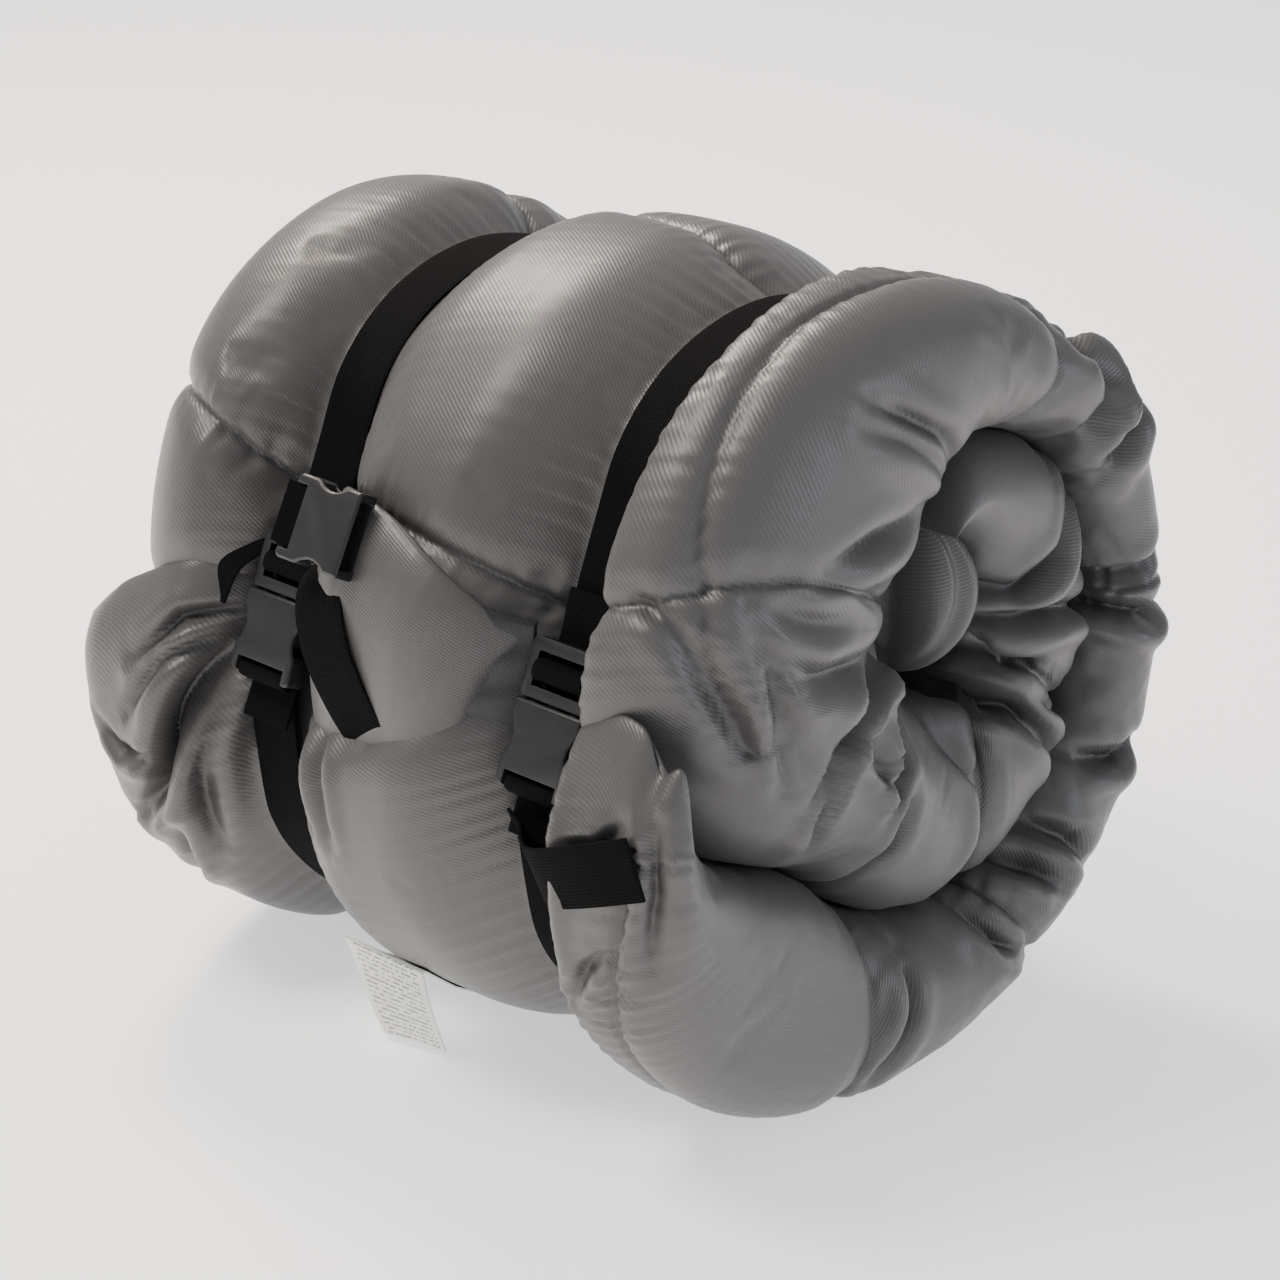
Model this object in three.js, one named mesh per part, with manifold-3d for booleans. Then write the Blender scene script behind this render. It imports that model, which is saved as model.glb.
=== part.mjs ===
// A camp quilt, rolled up and held by two compression straps.
//
// Millimetres, +Z up. The roll's axis lies along X, the buckles face -Y, and the roll rests on Z = 0.
// The origin is the middle of the footprint. Seen from +X, the fold winds anticlockwise from the tail
// at the low front, under the roll, up its back, over the top and down the front to the core.

import * as THREE from 'three';
import Module from 'manifold-3d';
import { mergeVertices } from 'three/addons/utils/BufferGeometryUtils.js';

const wasm = await Module();
wasm.setup();

// ---------------------------------------------------------------- driving dimensions

const ROLL_LENGTH = 344;          // along the roll's axis
const END_ROUNDING = 34;          // how far in from each end the fold turns soft and round
const END_HALF_THICKNESS = 9;     // what is left of half the fold at the very end

const SKIN = 0.8;                 // shell and lining cloth with their quilting
const GAP = 0.3;                  // between touching pieces
const WRAP_GAP = 1.2;             // between one turn of the fold and the next
const LOOSE_GAP = 5;              // the same, just under the tail's tip

const WEB_WIDTH = 25;             // polyester webbing
const WEB_THICKNESS = 1.5;
const STRAP_LEFT_X = -68;
const STRAP_RIGHT_X = 85;
const VALLEY_FLAT = 15;           // half the flat bottom of the valley under a strap
const VALLEY_REACH = 38;          // from a strap's middle to where the puff is full again

const BUCKLE_WIDTH = 34;          // side-release buckle for 25 mm webbing
const BUCKLE_THICKNESS = 10.6;
const LATCH_LENGTH = 20;

const CLOTH_GREY = { color: 0x7e7a77, roughness: 0.5, metalness: 0 };
const LINING_GREY = { color: 0x86878a, roughness: 0.5, metalness: 0 };
const FILL_WHITE = { color: 0xe9e8e4, roughness: 0.95, metalness: 0 };
const WEB_BLACK = { color: 0x17171a, roughness: 0.85, metalness: 0 };
const ACETAL_BLACK = { color: 0x202225, roughness: 0.42, metalness: 0 };
const LABEL_WHITE = { color: 0xe8e7e2, roughness: 0.6, metalness: 0 };

// ---------------------------------------------------------------- the roll's section

// Angles are in degrees from +Y, anticlockwise as seen from +X: 90 is the top, 180 the front.
// They go on counting as the fold winds in: 540 is the front again, one turn further in.

const TAIL_TIP = 172;             // where the fold's outer end lies
const CORE_END = 835;             // where the fold's inner end lies

// [angle, radius of the fold's outer face], where the turn outside it leaves it that much room
const OUTER_RADIUS = [
  [172, 153], [180, 160], [190, 162], [200, 167], [212, 171], [240, 172], [300, 171],
  [330, 167], [360, 165], [390, 167], [420, 170], [450, 173], [480, 168], [510, 152],
  [540, 138], [556, 134], [770, 134], [790, 88], [815, 62], [835, 46],
];
const LOOSE_UNTIL = 550;          // just under the tail's tip the turns lie less close
// [angle, thickness of the fold]
const FOLD_THICKNESS = [
  [172, 12], [180, 18], [190, 24], [200, 42], [212, 56], [245, 64], [270, 66], [300, 60],
  [330, 55], [360, 54], [390, 56], [420, 62], [450, 84], [480, 100], [510, 114], [540, 120],
  [570, 96], [600, 92], [630, 86], [690, 84], [720, 82], [745, 76], [768, 68], [790, 64],
  [815, 50], [835, 36],
];

// [angle, depth of the valley under a strap]; it is gone once the fold is under its own tail
const VALLEY_DEPTH = [
  [172, 38], [180, 39], [190, 34], [200, 22], [212, 14], [240, 16], [270, 22], [360, 22],
  [450, 20], [495, 34], [515, 36], [525, 36], [540, 28], [556, 22], [580, 8], [600, 0],
];

// [x, size of the puff against the largest]
const PUFF_SIZE = [
  [-172, 0.93], [-120, 0.95], [-85, 0.955], [-50, 0.955], [8, 0.96], [68, 0.97], [102, 0.97], [132, 1],
];
const THINNEST_FOLD = 6;          // where a strap draws it in

// [x, height of the roll's axis above the ground]: the end puffs stand on it, the middle just clears it
const AXIS_HEIGHT = [
  [-172, 155.5], [-120, 156], [-85, 158.5], [-50, 158.5], [8, 165], [68, 163.5], [172, 163.5],
];

function lookUp(table, at) {
  if (at <= table[0][0]) return table[0][1];
  for (let i = 1; i < table.length; i++) {
    const [start, from] = table[i - 1];
    const [end, to] = table[i];
    if (at <= end) return from + ((to - from) * (at - start)) / (end - start);
  }
  return table[table.length - 1][1];
}

// 1 in the middle of a strap's valley, 0 on the puffs
function valley(x) {
  const distance = Math.min(Math.abs(x - STRAP_LEFT_X), Math.abs(x - STRAP_RIGHT_X));
  return 1 - THREE.MathUtils.clamp((distance - VALLEY_FLAT) / (VALLEY_REACH - VALLEY_FLAT), 0, 1);
}

// 1 along the roll, falling round to END_HALF_THICKNESS at its two ends
function fullness(x) {
  const in_from_end = ROLL_LENGTH / 2 - Math.abs(x);
  const t = THREE.MathUtils.clamp(1 - in_from_end / END_ROUNDING, 0, 1);
  return Math.sqrt(1 - 0.92 * t * t);
}

function thickness(angle, x) {
  return lookUp(FOLD_THICKNESS, angle) * lookUp(PUFF_SIZE, x);
}

function puffRadius(angle, x) {
  return lookUp(OUTER_RADIUS, angle) * lookUp(PUFF_SIZE, x);
}

function innerRadius(angle, x) {
  const squeezed = thickness(angle, x) - 0.85 * valley(x) * lookUp(VALLEY_DEPTH, angle);
  return outerRadius(angle, x) - Math.max(squeezed, THINNEST_FOLD);
}

function outerRadius(angle, x) {
  const free = puffRadius(angle, x) - valley(x) * lookUp(VALLEY_DEPTH, angle);
  if (angle < TAIL_TIP + 360) return free;
  const gap = angle < LOOSE_UNTIL ? LOOSE_GAP : WRAP_GAP;
  return Math.min(free, innerRadius(angle - 360, x) - gap);
}

// the two faces of the fold, drawn together towards its middle at the roll's round ends
function foldFaces(angle, x) {
  const outer = outerRadius(angle, x);
  const inner = innerRadius(angle, x);
  const middle = (outer + inner) / 2;
  const half = Math.max((outer - inner) / 2, 2.5);
  const rounded = Math.min(half, Math.max(half * fullness(x), END_HALF_THICKNESS * 0.5));
  return [middle + rounded, middle - rounded];
}

// a point of the section at an angle and a radius; `floor` keeps it at or above a height
function place(angle, radius, x, floor = 0) {
  const a = THREE.MathUtils.degToRad(angle);
  return [x, radius * Math.cos(a), Math.max(lookUp(AXIS_HEIGHT, x) + radius * Math.sin(a), floor)];
}

// ---------------------------------------------------------------- helpers

const roll = new THREE.Group();

function addMesh(parent, name, geometry, finish) {
  const mesh = new THREE.Mesh(geometry, new THREE.MeshStandardMaterial(finish));
  mesh.name = name;
  parent.add(mesh);
  return mesh;
}

function merged(geometry) {
  const bare = geometry.clone();
  bare.deleteAttribute('normal');
  bare.deleteAttribute('uv');
  return mergeVertices(bare, 1e-4);
}

function toSolid(geometry) {
  const bare = merged(geometry);
  return new wasm.Manifold(new wasm.Mesh({
    numProp: 3,
    vertProperties: new Float32Array(bare.attributes.position.array),
    triVerts: new Uint32Array(bare.index.array),
  }));
}

function toGeometry(solid) {
  const mesh = solid.getMesh();
  const geometry = new THREE.BufferGeometry();
  geometry.setAttribute('position', new THREE.BufferAttribute(mesh.vertProperties, 3));
  geometry.setIndex(new THREE.BufferAttribute(mesh.triVerts, 1));
  return geometry;
}

function box(width, depth, height, x = 0, y = 0, z = 0) {
  return new THREE.BoxGeometry(width, depth, height).translate(x, y, z);
}

// three's box splits the quads of its back face along the other diagonal. With both faces split the
// same way, bent sheets that lie on each other stay clear of each other.
function alignDiagonals(boxGeometry) {
  const back = boxGeometry.groups[5];
  const index = boxGeometry.index.array;
  for (let i = back.start; i < back.start + back.count; i += 6) {
    const [a, b, d, , c] = index.slice(i, i + 6);
    index.set([a, b, c, a, c, d], i);
  }
}

// A box bent into another shape: `bend` takes each corner's three box coordinates to a point.
function bentBox(stationsU, stationsV, bend) {
  const nu = stationsU.length - 1;
  const nv = stationsV.length - 1;
  const straight = new THREE.BoxGeometry(nu, nv, 2, nu, nv, 1).translate(nu / 2, nv / 2, 0);
  alignDiagonals(straight);
  const geometry = merged(straight);
  const position = geometry.attributes.position;
  for (let i = 0; i < position.count; i++) {
    const u = stationsU[Math.round(position.getX(i))];
    const v = stationsV[Math.round(position.getY(i))];
    position.setXYZ(i, ...bend(u, v, position.getZ(i)));
  }
  return geometry;
}

// ---------------------------------------------------------------- the quilt

// The fold's stations: its two ends, the place under the tail's tip, and whole steps between them,
// so that two neighbouring turns have their edges side by side.
const TURN_STEP = 15;
const FIRST_WHOLE_STEP = 180;
const turnStations = [TAIL_TIP, TAIL_TIP + 360, CORE_END];
for (let angle = FIRST_WHOLE_STEP; angle < CORE_END; angle += TURN_STEP) turnStations.push(angle);
turnStations.sort((a, b) => a - b);

const END_X = ROLL_LENGTH / 2;
const endStations = [END_X, END_X - 7, END_X - END_ROUNDING * 0.7];
const valleyStations = [-VALLEY_REACH, -VALLEY_FLAT, VALLEY_FLAT, VALLEY_REACH];
const lengthStations = [
  ...endStations.map((x) => -x),
  ...valleyStations.map((x) => STRAP_LEFT_X + x),
  8,
  ...valleyStations.map((x) => STRAP_RIGHT_X + x),
  ...endStations.reverse(),
].sort((a, b) => a - b);

// Each layer of the quilt is a sheet between two offsets from a face of the fold.
function layer(faceOut, faceIn, floorOut, floorIn) {
  return bentBox(turnStations, lengthStations, (angle, x, side) => {
    const [outer, inner] = foldFaces(angle, x);
    const radius = side > 0 ? faceOut(outer, inner) : faceIn(outer, inner);
    return place(angle, radius, x, side > 0 ? floorOut : floorIn);
  });
}

const FILL_INSET = SKIN + GAP;

addMesh(roll, 'quilt_shell', layer((o) => o, (o) => o - SKIN, 0, SKIN), CLOTH_GREY);
addMesh(roll, 'quilt_fill',
  layer((o) => o - FILL_INSET, (o, i) => i + FILL_INSET, FILL_INSET, FILL_INSET), FILL_WHITE);
addMesh(roll, 'quilt_lining', layer((o, i) => i + SKIN, (o, i) => i, 0, 0), LINING_GREY);

// ---------------------------------------------------------------- webbing

// A flat band with its edges along X, from the middle line of its thickness: [y, z] points.
function ribbon(points, x, width = WEB_WIDTH, thickness_ = WEB_THICKNESS) {
  const line = points.map(([y, z]) => new THREE.Vector2(y, z));
  const offset = (side) => line.map((point, i) => {
    const before = line[Math.max(i - 1, 0)];
    const after = line[Math.min(i + 1, line.length - 1)];
    const into = point.clone().sub(before).normalize();
    const out = after.clone().sub(point).normalize();
    if (i === 0) into.copy(out);
    if (i === line.length - 1) out.copy(into);
    const along = into.add(out).normalize();
    const mitre = 1 / Math.max(along.dot(out), 0.6);
    return new THREE.Vector2(-along.y, along.x).multiplyScalar((side * thickness_ * mitre) / 2).add(point);
  });
  const outline = new THREE.Shape([...offset(1), ...offset(-1).reverse()]);
  const geometry = new THREE.ExtrudeGeometry(outline, { depth: width, steps: 1, bevelEnabled: false });
  const Y = new THREE.Vector3(0, 1, 0);
  const Z = new THREE.Vector3(0, 0, 1);
  const X = new THREE.Vector3(1, 0, 0);
  return geometry.applyMatrix4(new THREE.Matrix4().makeBasis(Y, Z, X)).translate(x - width / 2, 0, 0);
}

// Where the outside of the roll lies at an angle: the tail's face, and clear above its tip the main
// face.
const TIP_MARGIN = 6;

function skinRadius(angle, x) {
  return angle < TAIL_TIP - TIP_MARGIN ? foldFaces(angle + 360, x)[0] : foldFaces(angle, x)[0];
}

const WEB_LIFT = GAP + WEB_THICKNESS / 2;
const onSkin = (angle, x, lift) => place(angle, skinRadius(angle % 360, x) + lift, x).slice(1);

// ---------------------------------------------------------------- a strap and its buckle

// Each buckle has a frame of its own: +Z up along the strap, -Y away from the quilt, Y = 0 where the
// webbing lies on the roll, and Z = 0 at the socket's mouth.
const BUCKLE_TILT = THREE.MathUtils.degToRad(-23);
const BUCKLE_HEIGHT = 184;        // of the socket's mouth above the ground
const alongStrap = [-Math.sin(BUCKLE_TILT), Math.cos(BUCKLE_TILT)];
const awayFromRoll = [-Math.cos(BUCKLE_TILT), -Math.sin(BUCKLE_TILT)];

const BACK_OF_BUCKLE = 3.9;       // two layers of webbing lie behind it
const SOCKET_LENGTH = 34;
const CAVITY_WIDTH = 27.4;
const CAVITY_THICKNESS = 7.4;
const CAVITY_DEPTH = 25;
const BAR = 2.8;
const SLOT = 3.4;
const FRAME_THICKNESS = 6;
const FRAME_START = 0.7;
const FRAME_LENGTH = 23.6;

function buckleOrigin(x) {
  const touch = [135, 150, 165, TAIL_TIP, 180, 195].map((angle) => onSkin(angle, x, GAP));
  const height = (point) => point[0] * awayFromRoll[0] + point[1] * awayFromRoll[1];
  const plane = Math.max(...touch.map(height));
  return [(plane - BUCKLE_HEIGHT * awayFromRoll[1]) / awayFromRoll[0], BUCKLE_HEIGHT];
}

const fromBuckle = (origin, away, along) => [0, 1].map(
  (i) => origin[i] + away * awayFromRoll[i] + along * alongStrap[i],
);

// a plate in the buckle's X-Z plane, from an outline with holes, `thick` deep and `back` off the roll
function plate(outline, thick, back, bevel = 0) {
  const geometry = new THREE.ExtrudeGeometry(outline, {
    depth: thick - 2 * bevel, steps: 1, curveSegments: 5,
    bevelEnabled: bevel > 0, bevelThickness: bevel, bevelSize: bevel, bevelOffset: -bevel,
    bevelSegments: 1,
  });
  return geometry.rotateX(Math.PI / 2).translate(0, -back - bevel, 0);
}

function roundedBox2D(width, low, high, radius) {
  const half = width / 2;
  const shape = new THREE.Shape();
  shape.absarc(half - radius, low + radius, radius, -Math.PI / 2, 0);
  shape.absarc(half - radius, high - radius, radius, 0, Math.PI / 2);
  shape.absarc(-half + radius, high - radius, radius, Math.PI / 2, Math.PI);
  shape.absarc(-half + radius, low + radius, radius, Math.PI, 1.5 * Math.PI);
  return shape;
}

function slotHole(width, low, high) {
  const half = width / 2;
  const corners = [[-half, low], [half, low], [half, high], [-half, high]];
  return new THREE.Path(corners.map((p) => new THREE.Vector2(...p)));
}

// The socket: waisted sides with a window for each latch, a cavity from the mouth down, and a bar
// with a slot for the webbing.
const WAIST_DEPTH = 3.2;
const WAIST_LOW = -23;
const WAIST_HIGH = -7;

function socketGeometry() {
  const half = BUCKLE_WIDTH / 2;
  const corner = 2.5;
  const outline = new THREE.Shape();
  outline.absarc(half - corner, -SOCKET_LENGTH + corner, corner, -Math.PI / 2, 0);
  outline.lineTo(half, WAIST_LOW);
  outline.quadraticCurveTo(half - 2 * WAIST_DEPTH, (WAIST_LOW + WAIST_HIGH) / 2, half, WAIST_HIGH);
  outline.lineTo(half, 0);
  outline.lineTo(-half, 0);
  outline.lineTo(-half, WAIST_HIGH);
  outline.quadraticCurveTo(-half + 2 * WAIST_DEPTH, (WAIST_LOW + WAIST_HIGH) / 2, -half, WAIST_LOW);
  outline.absarc(-half + corner, -SOCKET_LENGTH + corner, corner, Math.PI, 1.5 * Math.PI);
  const body = toSolid(plate(outline, BUCKLE_THICKNESS, BACK_OF_BUCKLE, 0.9));
  const middle = -BACK_OF_BUCKLE - BUCKLE_THICKNESS / 2;
  const cavity = box(CAVITY_WIDTH, CAVITY_THICKNESS, CAVITY_DEPTH + 2, 0, middle, 1 - CAVITY_DEPTH / 2);
  const windows = box(BUCKLE_WIDTH + 4, CAVITY_THICKNESS, 13, 0, middle, (WAIST_LOW + WAIST_HIGH) / 2);
  const slotMiddle = -SOCKET_LENGTH + BAR + SLOT / 2;
  const slot = box(WEB_WIDTH + 1.2, BUCKLE_THICKNESS + 4, SLOT, 0, middle, slotMiddle);
  const recessDepth = (BUCKLE_THICKNESS - BAR - 1) / 2;
  const recessHeight = BAR + 2;
  const recess = (side) => box(
    WEB_WIDTH + 1.2, recessDepth + 2, recessHeight + 2,
    0, middle + side * (BUCKLE_THICKNESS / 2 - recessDepth / 2 + 1), -SOCKET_LENGTH + recessHeight / 2 - 1,
  );
  const cuts = [cavity, windows, slot, recess(-1), recess(1)];
  return toGeometry(cuts.reduce((solid, cut) => solid.subtract(toSolid(cut)), body));
}

// The clip half: a frame with a ladder bar between two slots, and a guide between its latches.
const LADDER_LOW = 10.2;
const LADDER_HIGH = 13.6;
const LOW_SLOT = 5.4;
const HIGH_SLOT = 19.2;
const GUIDE_WIDTH = 5;
const GUIDE_LENGTH = 19;

function clipGeometry() {
  const outline = roundedBox2D(BUCKLE_WIDTH, FRAME_START, FRAME_START + FRAME_LENGTH, 2);
  outline.holes.push(slotHole(WEB_WIDTH + 1, LOW_SLOT, LADDER_LOW));
  outline.holes.push(slotHole(WEB_WIDTH + 1, LADDER_HIGH, HIGH_SLOT));
  const back = BACK_OF_BUCKLE + (BUCKLE_THICKNESS - FRAME_THICKNESS) / 2;
  const middle = -BACK_OF_BUCKLE - BUCKLE_THICKNESS / 2;
  const guide = box(GUIDE_WIDTH, 5.4, GUIDE_LENGTH + 2, 0, middle, FRAME_START + 1 - GUIDE_LENGTH / 2);
  return toGeometry(toSolid(plate(outline, FRAME_THICKNESS, back)).add(toSolid(guide)));
}

// A latch arm, straight outside and tapering inside, with a barbed end that fits its window.
const ARM_OUTER = 13;
const ARM_INNER = 8.6;

function latchGeometry(side) {
  const outline = new THREE.Shape([
    [ARM_INNER + 0.4, 0], [ARM_INNER + 0.4, -8], [ARM_INNER - 0.4, -LATCH_LENGTH + 3],
    [ARM_INNER + 1.4, -LATCH_LENGTH], [ARM_OUTER - 1.6, -LATCH_LENGTH], [ARM_OUTER + 0.3, -LATCH_LENGTH + 4],
    [ARM_OUTER + 0.3, -8.5], [ARM_OUTER - 1.2, -7.5], [ARM_OUTER - 1.2, 0],
  ].map(([x, z]) => new THREE.Vector2(side * x, z)));
  return plate(outline, 6.4, BACK_OF_BUCKLE + (BUCKLE_THICKNESS - 6.4) / 2);
}

const LONG_STRAP_START = 255;     // both halves of a strap are sewn on under the roll
const SHORT_STRAP_END = 240;
const LAYER_ONE = 0.75 + 0.15;
const LAYER_TWO = LAYER_ONE + WEB_THICKNESS + GAP;
const FRONT_OF_BAR = BACK_OF_BUCKLE + BUCKLE_THICKNESS / 2 + (BAR + 1) / 2 + WEB_LIFT;
const FRONT_OF_LADDER = BACK_OF_BUCKLE + (BUCKLE_THICKNESS + FRAME_THICKNESS) / 2 + WEB_LIFT;

// Webbing through the socket's slot and round its bar, as [away from the roll, along the strap].
function webRoundBar(foldedEnd, farEnd) {
  const slotMiddle = -SOCKET_LENGTH + BAR + SLOT / 2;
  const under = -SOCKET_LENGTH - WEB_LIFT;
  return [
    [LAYER_TWO, foldedEnd], [LAYER_TWO, under], [FRONT_OF_BAR, under], [FRONT_OF_BAR, slotMiddle],
    [LAYER_ONE, slotMiddle], [LAYER_ONE, farEnd],
  ];
}

function compressionStrap(side, x) {
  const origin = buckleOrigin(x);
  const inFrame = ([away, along]) => fromBuckle(origin, away, along);

  const round = [];
  for (let angle = LONG_STRAP_START; angle <= 495; angle += 15) round.push(onSkin(angle, x, WEB_LIFT));
  const down = [[LAYER_ONE, 34], [LAYER_ONE, 4]].map(inFrame);
  addMesh(roll, `${side}_long_strap`, ribbon([...round, ...down], x), WEB_BLACK);

  const roundBar = webRoundBar(-52, -42).map(inFrame);
  const tail = [];
  for (let angle = 210; angle <= SHORT_STRAP_END; angle += 15) tail.push(onSkin(angle, x, WEB_LIFT));
  addMesh(roll, `${side}_short_strap`, ribbon([...roundBar, ...tail], x), WEB_BLACK);

  const buckle = new THREE.Group();
  buckle.position.set(x, ...origin);
  buckle.rotation.x = BUCKLE_TILT;
  roll.add(buckle);
  addMesh(buckle, `${side}_buckle_socket`, socketGeometry(), ACETAL_BLACK);
  addMesh(buckle, `${side}_buckle_clip`, clipGeometry(), ACETAL_BLACK);
  addMesh(buckle, `${side}_latch_arm_left`, latchGeometry(-1), ACETAL_BLACK);
  addMesh(buckle, `${side}_latch_arm_right`, latchGeometry(1), ACETAL_BLACK);

  const highSlotMiddle = (LADDER_HIGH + HIGH_SLOT) / 2;
  const lowSlotMiddle = (LOW_SLOT + LADDER_LOW) / 2;
  const threaded = [
    [LAYER_TWO, 50], [LAYER_TWO, highSlotMiddle], [FRONT_OF_LADDER, highSlotMiddle],
    [FRONT_OF_LADDER, lowSlotMiddle], [LAYER_TWO, lowSlotMiddle], [LAYER_TWO, 2],
  ].map(inFrame);
  addMesh(roll, `${side}_threaded_webbing`, ribbon(threaded, x), WEB_BLACK);
}

compressionStrap('left', STRAP_LEFT_X);
compressionStrap('right', STRAP_RIGHT_X);

// ---------------------------------------------------------------- the spare strap and its buckle

// A band bent over the roll from one place to another, each [angle, x], its middle `lift` off the skin.
const MM_PER_DEGREE = 2.6;        // on the skin there
const SPARE_LEFT_LIFT = 11;
const SPARE_RIGHT_LIFT = 14;

function slantedBand(from, to, steps, lift) {
  const along = new THREE.Vector2(to[1] - from[1], (to[0] - from[0]) * MM_PER_DEGREE).normalize();
  const shares = Array.from({ length: steps + 1 }, (_, i) => i / steps);
  return bentBox(shares, [-1, 1], (share, edge, side) => {
    const x = THREE.MathUtils.lerp(from[1], to[1], share) + (edge * along.y * WEB_WIDTH) / 2;
    const angle = THREE.MathUtils.lerp(from[0], to[0], share)
      - (edge * along.x * WEB_WIDTH) / 2 / MM_PER_DEGREE;
    return place(angle, skinRadius(angle, x) + lift + (side * WEB_THICKNESS) / 2, x);
  });
}

// It comes out from under the left strap, one leg down each side of it.
addMesh(roll, 'spare_strap_left_leg', slantedBand([151, -99], [166, -107], 5, SPARE_LEFT_LIFT), WEB_BLACK);
addMesh(roll, 'spare_strap_right_leg', slantedBand([160.5, -37], [180.5, -20], 8, SPARE_RIGHT_LIFT), WEB_BLACK);

// The spare socket lies on the middle puff, its mouth towards +X, on the end of a short web.
const SPARE_ANGLE = 152;
const SPARE_MOUTH_X = -3;
const SPARE_LIFT = 4;
const spare = new THREE.Group();
spare.position.set(...place(SPARE_ANGLE, skinRadius(SPARE_ANGLE, SPARE_MOUTH_X) + SPARE_LIFT, SPARE_MOUTH_X));
spare.rotation.x = THREE.MathUtils.degToRad(SPARE_ANGLE - 180);
const spareTurned = new THREE.Group();
spareTurned.rotation.y = Math.PI / 2;
spare.add(spareTurned);
roll.add(spare);
addMesh(spareTurned, 'spare_buckle_socket', socketGeometry(), ACETAL_BLACK);
const SPARE_WEB_END = -50;
const spareWeb = webRoundBar(-44, SPARE_WEB_END).map(([away, along]) => [-away, along]);
addMesh(spareTurned, 'spare_buckle_web', ribbon(spareWeb, 0), WEB_BLACK);

// ---------------------------------------------------------------- keeper tab and care label

const KEEPER_ANGLE = 196;
const KEEPER_START_X = STRAP_RIGHT_X - 15;
const KEEPER_END_X = 128;
const keeperX = [KEEPER_START_X, STRAP_RIGHT_X + VALLEY_FLAT, STRAP_RIGHT_X + 26, KEEPER_END_X];
const halfKeeperAngle = WEB_WIDTH / 2 / MM_PER_DEGREE;

addMesh(roll, 'keeper_tab', bentBox(keeperX, [-1, 0, 1], (x, edge, side) => {
  const angle = KEEPER_ANGLE - edge * halfKeeperAngle;
  const lift = x <= STRAP_RIGHT_X + VALLEY_FLAT ? 11 : 6;
  return place(angle, skinRadius(angle, x) + lift + (side * WEB_THICKNESS) / 2, x);
}), WEB_BLACK);

const LABEL_WIDTH = 46;
const LABEL_THICKNESS = 0.6;
const LABEL_X = -22;
const LABEL_FOLD_ANGLE = 227;
const LABEL_SEWN_ANGLE = 243;

const labelPath = [LABEL_SEWN_ANGLE, (LABEL_SEWN_ANGLE + LABEL_FOLD_ANGLE) / 2, LABEL_FOLD_ANGLE].map(
  (angle) => onSkin(angle, LABEL_X, 1.6),
);
addMesh(roll, 'care_label_back', ribbon(labelPath, LABEL_X, LABEL_WIDTH, LABEL_THICKNESS), LABEL_WHITE);

const [foldY, foldZ] = labelPath[2];
const LABEL_CLEAR = 1.2;
const LABEL_DROP = foldZ - 4;
addMesh(roll, 'care_label_front', box(
  LABEL_WIDTH, LABEL_THICKNESS, LABEL_DROP, LABEL_X, foldY - LABEL_CLEAR, foldZ - LABEL_DROP / 2,
), LABEL_WHITE);

export default roll;
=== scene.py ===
# %% [markdown]
# # A rolled camp quilt
# A quilt of satin-faced polyester, rolled up and held by two webbing straps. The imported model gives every
# piece its place and size. This script gives the cloth its puff, its seams and its wrinkles, and gives every
# other piece its finish.

# %% Load the frame
import math

import bmesh
import bpy
import numpy as np
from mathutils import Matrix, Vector


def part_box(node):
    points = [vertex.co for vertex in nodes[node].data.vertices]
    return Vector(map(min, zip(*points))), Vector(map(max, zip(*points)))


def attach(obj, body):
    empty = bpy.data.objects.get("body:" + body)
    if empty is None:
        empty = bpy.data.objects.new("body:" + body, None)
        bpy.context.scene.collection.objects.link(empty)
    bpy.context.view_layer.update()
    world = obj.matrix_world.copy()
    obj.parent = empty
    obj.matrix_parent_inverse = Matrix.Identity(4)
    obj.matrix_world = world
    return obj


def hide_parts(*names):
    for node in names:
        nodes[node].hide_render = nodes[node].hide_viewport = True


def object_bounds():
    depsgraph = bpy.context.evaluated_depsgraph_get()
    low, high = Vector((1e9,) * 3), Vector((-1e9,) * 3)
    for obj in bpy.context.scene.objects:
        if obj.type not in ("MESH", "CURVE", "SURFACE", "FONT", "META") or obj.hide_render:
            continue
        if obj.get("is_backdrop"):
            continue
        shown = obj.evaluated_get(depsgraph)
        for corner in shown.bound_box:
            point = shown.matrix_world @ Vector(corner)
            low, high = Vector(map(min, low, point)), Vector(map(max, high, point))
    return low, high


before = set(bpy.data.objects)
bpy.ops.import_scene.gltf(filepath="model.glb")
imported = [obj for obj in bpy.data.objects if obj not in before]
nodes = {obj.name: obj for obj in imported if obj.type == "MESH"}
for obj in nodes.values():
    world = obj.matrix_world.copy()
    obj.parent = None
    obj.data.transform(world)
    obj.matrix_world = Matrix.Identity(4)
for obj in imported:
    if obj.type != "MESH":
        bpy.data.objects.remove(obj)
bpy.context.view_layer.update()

# %% [markdown]
# ## Camera, floor and light
# The camera looks down at the right front corner with a long lens, so the roll keeps its proportions. A pale
# floor and three large soft lights give the cloth broad bands of sheen, which is how satin shows its shape.

# %% Camera
AZIMUTH = math.radians(42)
ELEVATION = math.radians(24)
CAMERA_DISTANCE = 1.6
AIM = Vector((0.0089, 0.0090, 0.1498))

back = Vector((
    math.sin(AZIMUTH) * math.cos(ELEVATION),
    -math.cos(AZIMUTH) * math.cos(ELEVATION),
    math.sin(ELEVATION),
))
camera_data = bpy.data.cameras.new("camera")
camera_data.lens = 108.3
camera_data.sensor_width = 36
camera = bpy.data.objects.new("camera", camera_data)
bpy.context.scene.collection.objects.link(camera)
camera.location = AIM + back * CAMERA_DISTANCE
camera.rotation_mode = "QUATERNION"
camera.rotation_quaternion = (-back).to_track_quat("-Z", "Y")
bpy.context.scene.camera = camera

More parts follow.
